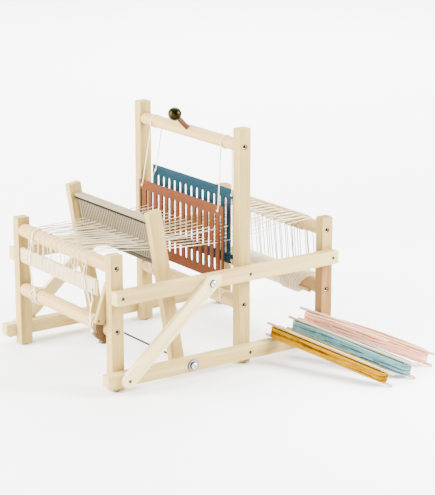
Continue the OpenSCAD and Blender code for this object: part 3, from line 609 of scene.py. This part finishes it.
slot_of = {part["node"]: part["material_slot"] for part in frame["record"]["subparts"]}
body_of = {node: body for body, nodes in frame["record"]["behaviour"]["bodies"].items() for node in nodes}
made = 0
for node, slot_name in slot_of.items():
    longest = max(range(3), key=lambda i: size(node)[i])
    finish = birch[longest]
    if node.endswith("_brace"):
        finish = brace_wood
    # The back posts' material paints shade on their lower part, below the upper rail.
    if node.endswith("_back_post"):
        finish = low_shaded_birch
    if node.endswith("_shuttle"):
        finish = rod_wood
    if node.endswith("_stick"):
        finish = stick_wood
    # The warp beam takes the darker copy of the turned wood, as painted shade.
    if node.endswith(("_beam", "_roller")):
        finish = shaded_turned_wood if node == "warp_beam" else turned_wood
    if slot_name == "birch":
        carried(node, finish, body_of[node], 0.5 * MM if node.endswith("shuttle") else 0.9 * MM)
        made += 1
    if node == "beater_rail":
        carried(node, reed_shade, body_of[node], 0.5 * MM)
    elif slot_name == "dark_wood":
        carried(node, brown_wood[0 if node == "ratchet_wheel" else longest], body_of[node], 0.5 * MM)
        made += 1
for node, material in (("front_heddle", coral_paint), ("back_heddle", blue_paint)):
    carried(node, material, node, 0.25 * MM)
carried("beater_cap", cap_finish, "beater", 0.8 * MM)
print("wooden pieces:", made)

# %% [markdown]
# The polished nuts and washers are turned work, and what shows in them is rings: a bright dome and
# a dull washer. The dark socket and dark edge of each dome, and the dark rings at a washer's hole and
# rim, are painted shade. A colour by the distance from the bolt's own axis draws those rings at any size.

# %% Finishes on the steel


def shade_ringed_steel(name, node, stops):
    """Steel whose colour goes in rings round the bolt's axis, the dark ones painted shade; the stops are radii in mm.
    """
    recipe = Recipe(name, 0.3, 0.9)
    centre = middle(node)
    parts = recipe.node("ShaderNodeSeparateXYZ")
    recipe.link(recipe.coordinates, parts.inputs[0])
    across = recipe.math("SUBTRACT", parts.outputs["Y"], centre.y)
    rise = recipe.math("SUBTRACT", parts.outputs["Z"], centre.z)
    square = recipe.math("MULTIPLY_ADD", across, across, recipe.math("MULTIPLY", rise, rise))
    radius = recipe.math("MULTIPLY", recipe.math("SQRT", square, 0.0), 1 / (10 * MM))
    recipe.colour(recipe.ramp(radius, [(r / 10, (tone, tone, tone * 1.02)) for r, tone in stops]))
    return recipe.material


# The dark stops are painted shade: the dome's socket and edge, and the washer round the nut and at its rim.
DOME_SHADE_RINGS = ((0.9, 0.02), (1.4, 0.65), (4.3, 0.70), (4.9, 0.04))
WASHER_SHADE_RINGS = ((5.6, 0.03), (6.2, 0.30), (7.6, 0.26), (8.2, 0.03))
SHADE_RINGED = {"brace_bolts": DOME_SHADE_RINGS, "pivot_nuts": DOME_SHADE_RINGS, "pivot_washers": WASHER_SHADE_RINGS}
FINISH = {"bright_steel": bright_steel, "dark_steel": dark_steel, "copper_steel": copper_steel,
          "knob": knob_lacquer, "pad": pad_rubber}
for node, slot_name in slot_of.items():
    if slot_name in FINISH:
        # The beam bolts get the nearly black steel, which paints the shade in their pockets.
        material = pocket_shade_steel if node == "beam_bolts" else FINISH[slot_name]
        if node in SHADE_RINGED:
            # Ringed steel: its dark rings are painted shade.
            material = shade_ringed_steel("Turned " + node.replace("_", " "), node, SHADE_RINGED[node])
        data = frame["nodes"][node].data
        data.materials.clear()
        data.materials.append(material)
print("finished solids:", sum(slot in FINISH for slot in slot_of.values()))

# %% [markdown]
# The wood screws have domed heads with a crossed slot. One head is made once: a flattened ball less
# two crossed bars. Then it is set at each screw's place by Instance on Points.

# %% Screw heads
screw_tree, inputs, end = new_tree("Screws", {"Head": "Float", "Slot": "Float", "Material": "Material"})
nodes, links = screw_tree.nodes, screw_tree.links
ball = nodes.new("GeometryNodeMeshUVSphere")
ball.inputs["Segments"].default_value = 24
ball.inputs["Rings"].default_value = 12
flatten = nodes.new("GeometryNodeTransform")
flatten.inputs["Scale"].default_value = (0.36, 1, 1)
links.new(inputs.outputs["Head"], ball.inputs["Radius"])
links.new(ball.outputs["Mesh"], flatten.inputs["Geometry"])
cut = nodes.new("GeometryNodeMeshBoolean")
cut.operation = "DIFFERENCE"
links.new(flatten.outputs["Geometry"], cut.inputs["Mesh 1"])
for along_y in (True, False):
    bar = nodes.new("GeometryNodeMeshCube")
    shape = nodes.new("ShaderNodeCombineXYZ")
    double = nodes.new("ShaderNodeMath")
    double.operation = "MULTIPLY"
    double.inputs[1].default_value = 1.3
    links.new(inputs.outputs["Head"], double.inputs[0])
    shape.inputs["X"].default_value = 4 * MM
    links.new(double.outputs[0], shape.inputs["Y" if along_y else "Z"])
    links.new(inputs.outputs["Slot"], shape.inputs["Z" if along_y else "Y"])
    links.new(shape.outputs[0], bar.inputs["Size"])
    links.new(bar.outputs["Mesh"], cut.inputs["Mesh 2"])
spots = nodes.new("GeometryNodeInstanceOnPoints")
links.new(inputs.outputs["Geometry"], spots.inputs["Points"])
links.new(cut.outputs["Mesh"], spots.inputs["Instance"])
finished_tree(screw_tree, inputs, end, spots.outputs["Instances"])


def islands(node):
    """The middles of the separate solids in a node."""
    mesh = bmesh.new()
    mesh.from_mesh(frame["nodes"][node].data)
    bmesh.ops.remove_doubles(mesh, verts=mesh.verts, dist=1e-6)
    left, found = set(mesh.verts), []
    while left:
        group, edge_of = set(), [left.pop()]
        while edge_of:
            vert = edge_of.pop()
            group.add(vert)
            near = [e.other_vert(vert) for e in vert.link_edges]
            edge_of += [v for v in near if v in left]
            left -= set(near)
        xs = [v.co for v in group]
        found.append([Vector([f(v[i] for v in xs) for i in range(3)]) for f in (min, max)])
    mesh.free()
    return found


def outer_ends(node):
    """Where the heads of the screws in a node sit, on either side of the loom."""
    ends = []
    for low, high in islands(node):
        right = (low.x + high.x) / 2 > loom_x
        face = high.x - 0.8 * MM if right else low.x + 0.8 * MM
        ends.append((face, (low.y + high.y) / 2, (low.z + high.z) / 2))
    return ends


head_spots = outer_ends("rail_screws") + outer_ends("brace_screws")
spot_data = bpy.data.meshes.new("screw_heads")
spot_data.from_pydata(head_spots, [], [])
screws = grown(new_piece("screw_heads", spot_data), screw_tree,
               {"Head": 2.4 * MM, "Slot": 0.6 * MM, "Material": dark_steel})
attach(screws, "frame")
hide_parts("rail_screws", "brace_screws")
print("screw heads:", len(head_spots))

# %% [markdown]
# The bolts that hold the beams sit deep in round pockets. Their heads are painted nearly black as the
# shade in the pockets, and a bright rounded rim round each catches the light: one circle swept by a
# small one, set at each head by Instance on Points again.

# %% Bolt rims
rim_tree, inputs, end = new_tree("Bolt rims", {"Rim": "Float", "Thickness": "Float", "Material": "Material"})
nodes, links = rim_tree.nodes, rim_tree.links
circle = nodes.new("GeometryNodeCurvePrimitiveCircle")
circle.inputs["Resolution"].default_value = 24
links.new(inputs.outputs["Rim"], circle.inputs["Radius"])
section = nodes.new("GeometryNodeCurvePrimitiveCircle")
section.inputs["Resolution"].default_value = 8
links.new(inputs.outputs["Thickness"], section.inputs["Radius"])
sweep = nodes.new("GeometryNodeCurveToMesh")
links.new(circle.outputs["Curve"], sweep.inputs["Curve"])
links.new(section.outputs["Curve"], sweep.inputs["Profile Curve"])
upright = nodes.new("GeometryNodeTransform")
upright.inputs["Rotation"].default_value = (0, math.pi / 2, 0)
links.new(sweep.outputs["Mesh"], upright.inputs["Geometry"])
spots = nodes.new("GeometryNodeInstanceOnPoints")
links.new(inputs.outputs["Geometry"], spots.inputs["Points"])
links.new(upright.outputs["Geometry"], spots.inputs["Instance"])
finished_tree(rim_tree, inputs, end, spots.outputs["Instances"])
rim_spots = [(x + math.copysign(0.9 * MM, x - loom_x), y, z) for x, y, z in outer_ends("beam_bolts")]
spot_data = bpy.data.meshes.new("bolt_rims")
spot_data.from_pydata(rim_spots, [], [])
rims = grown(new_piece("bolt_rims", spot_data), rim_tree,
             {"Rim": 3.05 * MM, "Thickness": 0.4 * MM, "Material": bright_steel})
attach(rims, "frame")
print("bolt rims:", len(rim_spots))

# %% [markdown]
# The reed is a row of thin upright blades between two bars, bound at each bar so that the blades
# keep their distance. One tree makes a row: a line of points, a blade on each, and a bead of
# binding at its top and foot. The row is made upright and then leans with the beater.

# %% Reed
reed_tree, inputs, end = new_tree("Reed", {"Count": "Int", "Pitch": "Float", "Blade": "Vector", "Bead": "Float",
                                           "Material": "Material"})
nodes, links = reed_tree.nodes, reed_tree.links


def row_of(shape, rise):
    """A line of copies of one shape along X, all lifted by the same height."""
    step = nodes.new("ShaderNodeCombineXYZ")
    links.new(inputs.outputs["Pitch"], step.inputs["X"])
    places = nodes.new("GeometryNodeMeshLine")
    links.new(inputs.outputs["Count"], places.inputs["Count"])
    links.new(step.outputs[0], places.inputs["Offset"])
    copies = nodes.new("GeometryNodeInstanceOnPoints")
    links.new(places.outputs["Mesh"], copies.inputs["Points"])
    links.new(shape, copies.inputs["Instance"])
    lift = nodes.new("GeometryNodeTransform")
    lift.inputs["Translation"].default_value = (0, 0, rise)
    links.new(copies.outputs["Instances"], lift.inputs["Geometry"])
    return lift.outputs["Geometry"]


cap, foot_rail = middle("beater_cap"), middle("beater_rail")
reed_run = (cap - foot_rail).normalized()
CAP_H, FOOT_H, BAR_H, SLIT_H = 5.5 * MM, 4 * MM, 1.6 * MM, 2.8 * MM
reed_low = foot_rail + reed_run * FOOT_H / 2
reed_high = cap - reed_run * (CAP_H / 2 + SLIT_H)
open_h = (reed_high - reed_low).length - 2 * BAR_H
join = nodes.new("GeometryNodeJoinGeometry")
blade = nodes.new("GeometryNodeMeshCube")
links.new(inputs.outputs["Blade"], blade.inputs["Size"])
links.new(row_of(blade.outputs["Mesh"], 0.0), join.inputs["Geometry"])
bead = nodes.new("GeometryNodeMeshUVSphere")
bead.inputs["Segments"].default_value = 8
bead.inputs["Rings"].default_value = 6
links.new(inputs.outputs["Bead"], bead.inputs["Radius"])
for rise in (-open_h / 2 + 0.6 * MM, open_h / 2 - 0.6 * MM):
    links.new(row_of(bead.outputs["Mesh"], rise), join.inputs["Geometry"])
finished_tree(reed_tree, inputs, end, join.outputs["Geometry"])

DENT = 4.75 * MM
reed_half = size("reed").x / 2
dents = 2 * int(reed_half / DENT - 0.8)
seed_data = bpy.data.meshes.new("reed_blades")
seed_data.from_pydata([(0, 0, 0)], [], [])
blades = grown(new_piece("reed_blades", seed_data), reed_tree,
               {"Count": dents, "Pitch": DENT, "Blade": (2.4 * MM, 1.8 * MM, open_h + 1 * MM), "Bead": 1.0 * MM,
                "Material": reed_blade})
lean = Matrix.Rotation(math.atan2(-reed_run.y, reed_run.z), 4, "X")
centre = (reed_low + reed_high) / 2
blades.data.transform(Matrix.Translation(centre) @ lean @ Matrix.Translation((-(dents - 1) / 2 * DENT, 0, 0)))
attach(blades, "beater")
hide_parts("reed")
print("blades in the reed:", dents)

# %% [markdown]
# The reed's two bars are half round, and a bar closes each side. They are short straight threads in
# shape, so the thread tree makes them too, with more sides. Between the reed and its cap there is a
# narrow slit in the shade, which a dark strip as deep as the cap stands for.

# %% Reed bars
bar_r = BAR_H / 2
bars = []
for foot in (reed_low + reed_run * bar_r, reed_high - reed_run * bar_r):
    bars.append(line(foot - Vector((reed_half, 0, 0)), foot + Vector((reed_half, 0, 0)), 1))
for side in (-1, 1):
    edge = Vector((side * (reed_half - bar_r), 0, 0))
    bars.append(line(reed_low + edge, reed_high + edge, 1))
strands("reed_bars", bars, bar_r + 0.3 * MM, reed_bar, "beater", sides=16)
strip = bmesh.new()
bmesh.ops.create_cube(strip, size=1.0)
shape = Matrix.Diagonal((2 * reed_half - 2 * MM, size("beater_cap").y - 1 * MM, SLIT_H, 1))
bmesh.ops.transform(strip, matrix=Matrix.Translation(reed_high + reed_run * SLIT_H / 2) @ lean @ shape, verts=strip.verts)
strip_data = bpy.data.meshes.new("reed_slit")
strip.to_mesh(strip_data)
strip.free()
strip_data.materials.append(reed_slit)
slit = new_piece("reed_slit", strip_data)
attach(slit, "beater")
print("reed bars:", len(bars))

# %% [markdown]
# The warp. Each thread rises from the slat, lies over the breast beam, runs through the reed and
# one of the two boards, and goes over the back beam. Where a board moves, the thread follows it; here the
# two stretches beside each board are pieces of their own, made where the board stands now.
# On the breast beam the threads lie in bundles, as they were tied, with gaps between.

# %% Warp threads
PITCH, SIDE_THREADS = 7.3, 13
BUNDLES = [(-88, 2), (-76, 3), (-61, 2), (-46, 3), (-34, 1), (-25, 3), (-11, 2), (2, 3), (13, 2), (27, 1), (41, 2),
           (50, 1), (68, 1), (74, 1)]
beam_places = [x + 1.7 * (k - (count - 1) / 2) for x, count in BUNDLES for k in range(count)]
wrap_r = BEAM_R + 0.4 * MM
top_z = (breast.z + wrap_r) / MM
reed_face = reed_low + reed_run * ((breast.z + wrap_r - reed_low.z) / reed_run.z)
SPREAD_Y = (reed_face.y - loom_y) / MM
boards = {"front_heddle": (front_board, range(-SIDE_THREADS, SIDE_THREADS + 1, 2)),
          "back_heddle": (back_board, range(-SIDE_THREADS + 1, SIDE_THREADS, 2))}
for body, (board, numbers) in boards.items():
    fore, aft = [], []
    board_y, board_z = (board.y - loom_y) / MM, board.z / MM
    for i in numbers:
        for shift in (-0.9, 0.9):
            x = i * PITCH + shift
            start = at(beam_places[i + SIDE_THREADS] + 0.5 * shift, 9.5, top_z)
            share = (SPREAD_Y - 9.5) / (board_y - 9.5)
            bend = at(x + wobble(1.6), SPREAD_Y, top_z + (board_z - top_z) * share + wobble(0.8))
            eye = at(i * PITCH + 0.3 * shift, board_y, board_z)
            fore.append(line(start, bend, 5, wobble(0.5 * MM))[:-1] + line(bend, eye, 6, abs(wobble(1.0 * MM))))
            aft.append(line(eye, at(x, (back.y - loom_y) / MM, top_z), 8, abs(wobble(1.0 * MM))))
    fore_piece = strands(body + "_warp_fore", fore, 0.45 * MM, cotton)
    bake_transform(fore_piece)
    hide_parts(body + "_threads")
    aft_piece = strands(body + "_warp_aft", aft, 0.42 * MM, cotton)
    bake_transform(aft_piece)
print("warp threads:", len(beam_places))

# %% [markdown]
# In front the bundles bend over the breast beam and hang to the slat. The slat sinks as the cloth
# beam turns, but the hanging part is made where the slat stands now. Two bundles are looped and
# knotted loosely, which breaks the row as on the real loom.

# %% Threads over the breast beam
slat_low, slat_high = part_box("tie_slat")
slat_front = (slat_low.y - loom_y) / MM - 1.9
SLAT_TOP, SLAT_FOOT = slat_high.z / MM, slat_low.z / MM


def over_beam(x, lift=0.0):
    """Points of a thread that lies over the front of the breast beam."""
    r = wrap_r + lift
    return [Vector((at(x, 0, 0).x, breast.y - r * math.sin(math.radians(t)), breast.z + r * math.cos(math.radians(t))))
            for t in range(-15, 91, 15)]


def hang(name, routes, radius, material):
    """Threads from the breast beam to the slat, made as one piece where they hang now."""
    piece = strands(name, routes, radius, material)
    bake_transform(piece)


plain_hang = []
for x in beam_places:
    slat_x = x + wobble(1.5)
    plain_hang.append(over_beam(x) + [at(x, -0.9, 170), at(slat_x, -1.2, SLAT_TOP + 5),
                                      at(slat_x, slat_front, SLAT_TOP - 2), at(slat_x, slat_front, SLAT_FOOT + 3)])
hang("hanging_warp", plain_hang, 0.38 * MM, cotton)

looped = []
for x0, x1, meet_x, meet_z in ((37, 52, 46, 158), (68, 73, 71, 166)):
    for x, bow in ((x0, -3.0), (x1, 3.0)):
        route = over_beam(x, 1.2 * MM)
        route += [at(x + bow * math.sin(math.pi * t / 5) + (meet_x - x) * (t / 5) ** 2, -3.6, 172 + (meet_z - 172) * t / 5)
                  for t in range(1, 6)]
        looped.append(route + [at(meet_x + bow * 0.3, slat_front - 0.8, SLAT_TOP), at(meet_x + bow * 0.4, slat_front - 0.9, SLAT_FOOT)])
    looped.append(knot(at(meet_x, -3.8, meet_z), 1.5 * MM))
hang("looped_warp", looped, 0.5 * MM, cotton)
print("hanging threads:", len(plain_hang) + len(looped))

# %% [markdown]
# Behind, the warp lies slantwise round the back beam in ropes of a few threads, and from there the
# threads hang down to the wound warp, some close together and some apart, painted grey as the shade on them.

# %% Threads on the back beam
ROPES, ROPE_PITCH = 9, 110.0
wraps = []
for k in range(ROPES):
    for strand, lift in enumerate((0.1, 0.7, 0.2)):
        x0 = 86.0 - 1.7 * strand + wobble(1.2)
        wraps.append(helix(x0, x0 - 180.0 + wobble(4.0), back, BEAM_R + (1.0 + lift) * MM, 181.0 / ROPE_PITCH, 20,
                           2 * math.pi * k / ROPES + wobble(0.2), 0.15 * MM))
strands("back_beam_wraps", wraps, 0.85 * MM, warm_cotton, "frame")
print("ropes on the back beam:", ROPES)

# %% Threads down to the wound warp
layer_low, layer_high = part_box("warp_layer")
layer_r = (layer_high.z - layer_low.z) / 2
falling, x = [], -88.0
while x < 96:
    foot = Vector((at(min(92.0, x + wobble(3.0)), 0, 0).x, warp.y + layer_r + 0.4 * MM, warp.z + 2 * MM))
    falling.append(line((at(x, 0, 0).x, back.y + wrap_r, back.z), foot, 6))
    x += random_numbers.uniform(2.5, 12.5)
# The falling threads are painted grey as shade.
strands("falling_warp", falling, 0.6 * MM, shade_grey_cotton, "frame")
print("threads behind:", len(falling))

# %% [markdown]
# Windings: the warp on its beam and the thread on the slat. Each is one long thread that steps on
# by its own thickness at each turn, over a core; the warp's core is painted in the cotton in shade. Near
# the right end the last turns of the warp run steeply across the others in ropes, where the bundle was
# pulled over to the stick, and a thin dark thread in painted shade lies in the groove between one rope and the next.

# %% Wound warp
core_low, core_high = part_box("warp_roll")
core_x0, core_x1 = (core_low.x - loom_x) / MM + 1, (core_high.x - loom_x) / MM - 1


def edge_x(angle):
    """Where the wound warp ends on the right, in mm from the middle, at an angle round the beam."""
    turn = math.degrees(angle - EDGE_START) % 360
    if turn <= EDGE_TURN:
        return EDGE_X - EDGE_RUN * turn / EDGE_TURN
    return EDGE_X - EDGE_RUN * (360 - turn) / (360 - EDGE_TURN)


EDGE_START, EDGE_TURN, EDGE_X, EDGE_RUN = math.radians(60), 240.0, 100.0, 32.0
winding = []
for i, place in enumerate(helix(core_x0, core_x1, warp, layer_r - 2 * THREAD_R, (core_x1 - core_x0) / 1.5, 20, 0.0, 0.15 * MM)):
    share = max(0.0, (place.x - loom_x) / MM - core_x1 + 45) / 45
    place.x += share * (edge_x(2 * math.pi * i / 20) - core_x1) * MM
    winding.append(place)
steep = []
grooves = []
for k in range(6):
    for strand, lift in enumerate((0.1, 0.7, 0.2)):
        x1 = EDGE_X + 1.0 - 6.4 * k - 1.7 * strand
        steep.append(helix(x1, x1 - EDGE_RUN, warp, layer_r + lift * MM, EDGE_TURN / 360, 32, EDGE_START, 0.1 * MM))
    grooves.append(helix(x1 - 2.3, x1 - 2.3 - EDGE_RUN, warp, layer_r, EDGE_TURN / 360, 32, EDGE_START))
cone, CONE_TURNS = [], 5
for i in range(24 * CONE_TURNS + 1):
    a, inward = 2 * math.pi * i / 24, i / (24 * CONE_TURNS)
    r = (layer_r - 1.2 * MM) * (1 - inward) + (BEAM_R + 0.9 * MM) * inward
    cone.append(Vector((at(edge_x(a) + 0.2 + 2.5 * inward, 0, 0).x, warp.y + r * math.cos(a), warp.z + r * math.sin(a))))
steep.append(cone)
layer = strands("wound_warp", [winding], THREAD_R, cotton, "warp_beam")
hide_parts("warp_layer")
strands("steep_warp", steep, 0.9 * MM, cream_cotton, "warp_beam")
strands("steep_shade", grooves, 0.55 * MM, shade_cotton, "warp_beam")
roll = carried("warp_roll", shade_cotton, "warp_beam")
for vertex in roll.data.vertices:
    if vertex.co.x > core_high.x - 1 * MM:
        vertex.co.x = at(edge_x(math.atan2(vertex.co.z - warp.z, vertex.co.y - warp.y)), 0, 0).x
print("turns of wound warp:", round((core_x1 - core_x0) / 1.5))

# %% Thread on the slat


def slat_route(pitch):
    """A flat winding round the slat."""
    x, stop = slat_low.x + 5 * MM, slat_high.x - 4 * MM
    y0, y1 = slat_low.y - GAP - THREAD_R, slat_high.y + GAP + THREAD_R
    z0, z1 = slat_low.z - GAP - THREAD_R, slat_high.z + GAP + THREAD_R
    corner = 1.2 * MM
    loop = [(y0, z0 + corner), (y0, z1 - corner), (y0 + corner, z1), (y1 - corner, z1), (y1, z1 - corner),
            (y1, z0 + corner), (y1 - corner, z0), (y0 + corner, z0)]
    route = []
    while x < stop:
        for k, (y, z) in enumerate(loop):
            route.append(Vector((x + pitch * k / len(loop) + wobble(0.1 * MM), y, z)))
        x += pitch
    return route


slat_thread = strands("slat_thread", [slat_route(1.6 * MM)], THREAD_R, cream_cotton, "tie_slat")
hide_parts("slat_winding")
print("thread laid on the slat")

# %% [markdown]
# A shuttle's yarn runs lengthwise round its two crossbars, loop on loop. The loops aren't laid in
# order: each one climbs or sinks a little on its way, so that they cross, and the outer ones bulge
# over the rods. They are made in the shuttle's own plane and turned to where it lies, which the
# spread of its corners tells.

# %% Yarn on the shuttles
YARN_ROOM, BAR_SPAN = 12.6 * MM, 180 * MM
YARN_BULGE = {"orange": 4.0 * MM, "blue": 4.5 * MM, "pink": 6.0 * MM}
YARN_BELLY = {"orange": 1.5 * MM, "blue": 3.0 * MM, "pink": 6.0 * MM}


def shuttle_axes(colour):
    """The middle of a shuttle, and the turn that lays a flat shuttle where this one lies."""
    points = np.array([v.co for v in frame["nodes"][colour + "_shuttle"].data.vertices])
    centre = (points.min(axis=0) + points.max(axis=0)) / 2
    spread = np.linalg.eigh(np.cov((points - centre).T))[1]
    run, up = Vector(spread[:, 2]), Vector(spread[:, 1])
    run *= math.copysign(1, run.x)
    up *= math.copysign(1, up.z)
    return Vector(centre), Matrix((run, up.cross(run), up)).transposed()


def yarn_routes(seed, bulge, belly):
    """Lengthwise loops, layer on layer, in the shuttle's own plane.

    The bulge widens the outer layers at the crossbars, and the belly widens them half way between.
    """
    numbers = random.Random(seed)
    route, lift = [], 0.0
    for loop in range(44):
        depth = loop / 43
        radius = (7.2 + 1.5 * depth) * MM
        room = YARN_ROOM + bulge * depth
        for half in (0, 1):
            aimed = numbers.uniform(-0.5, 0.5) * room
            side = 1 if half == 0 else -1
            for t in (-0.6, -0.3, 0.0, 0.3, 0.6):
                swell = 1 + depth * belly / (room / 2) * math.cos(math.pi * t / 2)
                height = (lift + (aimed - lift) * 0.4 * (t + 1)) * swell
                route.append(Vector((side * BAR_SPAN / 2 * t, -side * radius * (1 + 0.2 * (swell - 1)), height)))
            for k in range(7):
                a = math.radians(k * 30 - 90)
                height = lift + (aimed - lift) * (0.8 + 0.2 * k / 6)
                route.append(Vector((side * (BAR_SPAN / 2 + radius * math.cos(a)), side * radius * math.sin(a), height)))
            lift = aimed
    return route


for seed, colour in enumerate(COLOURS):
    centre, turn = shuttle_axes(colour)
    print(colour, "lies at", [round(math.degrees(a), 2) for a in turn.to_euler()])
    route = [turn @ p + centre for p in yarn_routes(seed, YARN_BULGE[colour], YARN_BELLY[colour])]
    wound = strands(colour + "_wound", [route], 1.1 * MM, wools[colour], colour + "_shuttle")
    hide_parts(colour + "_yarn")
    carried(colour + "_core", shaded[colour], colour + "_shuttle")
print("shuttles wound")

# %% [markdown]
# The boards hang on double cords from the upper roller and are held down by the lower one. As the
# lever turns, the cords wind; here each cord is made where it hangs now. A knot holds each
# pair at its board, and the far pair of the rear board ends in a loose tail.

# %% Heddle cords
ROLLER_X, BOARD_X = 90.5, 98.6
upper_wrap = size("heddle_roller").z / 2 + 1.1 * MM
lower_wrap = size("lower_roller").z / 2 + 1.1 * MM
hole = size("front_heddle").z / 2 - 6.75 * MM
for body, board, side in (("front_heddle", front_board, -1), ("back_heddle", back_board, 1)):
    face_y = board.y - size(body).y / 2 - 1.0 * MM
    up, down, knots = [], [], []
    for s in (-1, 1):
        for shift in (-0.8 * MM, 0.8 * MM):
            start = Vector((loom_x + s * ROLLER_X * MM + shift, upper_roller.y + side * upper_wrap, upper_roller.z))
            foot = Vector((loom_x + s * BOARD_X * MM + 0.5 * shift, face_y, board.z + hole))
            up.append([start] + line(start - Vector((0, 0, 8 * MM)), foot, 6))
            low_start = Vector((foot.x, face_y, board.z - hole))
            low_end = Vector((start.x, lower_roller.y + side * lower_wrap, lower_roller.z))
            down.append(line(low_start, low_end, 5))
        for height in (hole, -hole):
            knots.append(knot(Vector((loom_x + s * BOARD_X * MM, face_y - 0.8 * MM, board.z + height)), 1.9 * MM))
    if body == "back_heddle":
        tip = Vector((loom_x - BOARD_X * MM, face_y - 1 * MM, board.z + hole))
        knots.append([tip, tip + Vector((-1, -1, -3)) * MM, tip + Vector((-3, -1.5, -9)) * MM])
    upper = strands(body + "_upper_cords", up, CORD_R * 0.7, cotton)
    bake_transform(upper)
    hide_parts(body + "_cords")
    lower = strands(body + "_lower_cords", down, CORD_R * 0.7, cotton)
    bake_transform(lower)
    strands(body + "_knots", knots, CORD_R * 0.8, cotton, body)
for body, roller, wrap in (("heddle_roller", upper_roller, upper_wrap), ("lower_roller", lower_roller, lower_wrap)):
    rings = [helix(s * ROLLER_X - 1.2, s * ROLLER_X + 1.2, roller, wrap - 0.4 * MM, 2) for s in (-1, 1)]
    strands(body + "_wraps", rings, CORD_R * 0.7, cotton, body)
print("heddle cords made")

# %% [markdown]
# Two cords tie the work to the cloth beam. The near one is a fork: one leg from a bundle in front
# of the slat, one from the slat's foot, and a knot where they meet the beam. The far one comes down
# from the breast beam in front of the slat and ends in a slanted loop round the cloth beam.

# %% Tie cords
FORK = at(83, -2.0, 110)
fork = []
for shift in (-0.7, 0.7):
    fork.append(line(at(75 + shift, slat_front - 1.4, SLAT_TOP - 3), at(77 + shift, slat_front - 1.4, SLAT_FOOT + 2), 2)
                + line(at(78 + shift, -2.6, SLAT_FOOT - 4), FORK + Vector((shift * MM, 0, 0)), 3))
    fork.append([at(94 + shift, slat_front - 1.4, SLAT_FOOT + 8), at(93 + shift, slat_front - 0.8, SLAT_FOOT),
                 at(90 + shift, -2.6, SLAT_FOOT - 10), FORK + Vector((shift * MM, 0, 0))])
    fork.append(line(FORK + Vector((shift * MM, 0, 0)), at(79.5 + shift, -0.8, 95), 3))
fork_piece = strands("near_tie", fork, CORD_R * 0.9, cotton)
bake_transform(fork_piece)
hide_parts("tie_cords")

far = []
for shift in (-0.8, 0.8):
    far.append(over_beam(-75 + shift, 1.6 * MM) + [at(-75 + shift, -4.0, 168), at(-76 + shift, slat_front - 1.2, SLAT_TOP),
                                                   at(-77 + shift, slat_front - 1.2, SLAT_FOOT), at(-78 + shift, -3.0, 112),
                                                   at(-76 + shift, -1.0, 99)])
strands("far_tie", far, 0.5 * MM, cotton, "frame")

loops = [helix(-88, -70, cloth, BEAM_R + 1.1 * MM, 1.1, 24, math.radians(200)),
         helix(-70, -86, cloth, BEAM_R + 1.9 * MM, 1.0, 24, math.radians(150)),
         helix(77.5, 82.5, cloth, BEAM_R + 1.1 * MM, 3, 20),
         knot(at(79.5, 0.2, 95.5), 3.0 * MM), knot(at(80.5, -0.6, 93.0), 2.4 * MM),
         knot(at(77, 3.0, 75.5), 2.2 * MM), knot(at(-76, -0.6, 97.0), 2.2 * MM)]
strands("tie_loops", loops, CORD_R, cotton, "cloth_beam")
print("tie cords made")
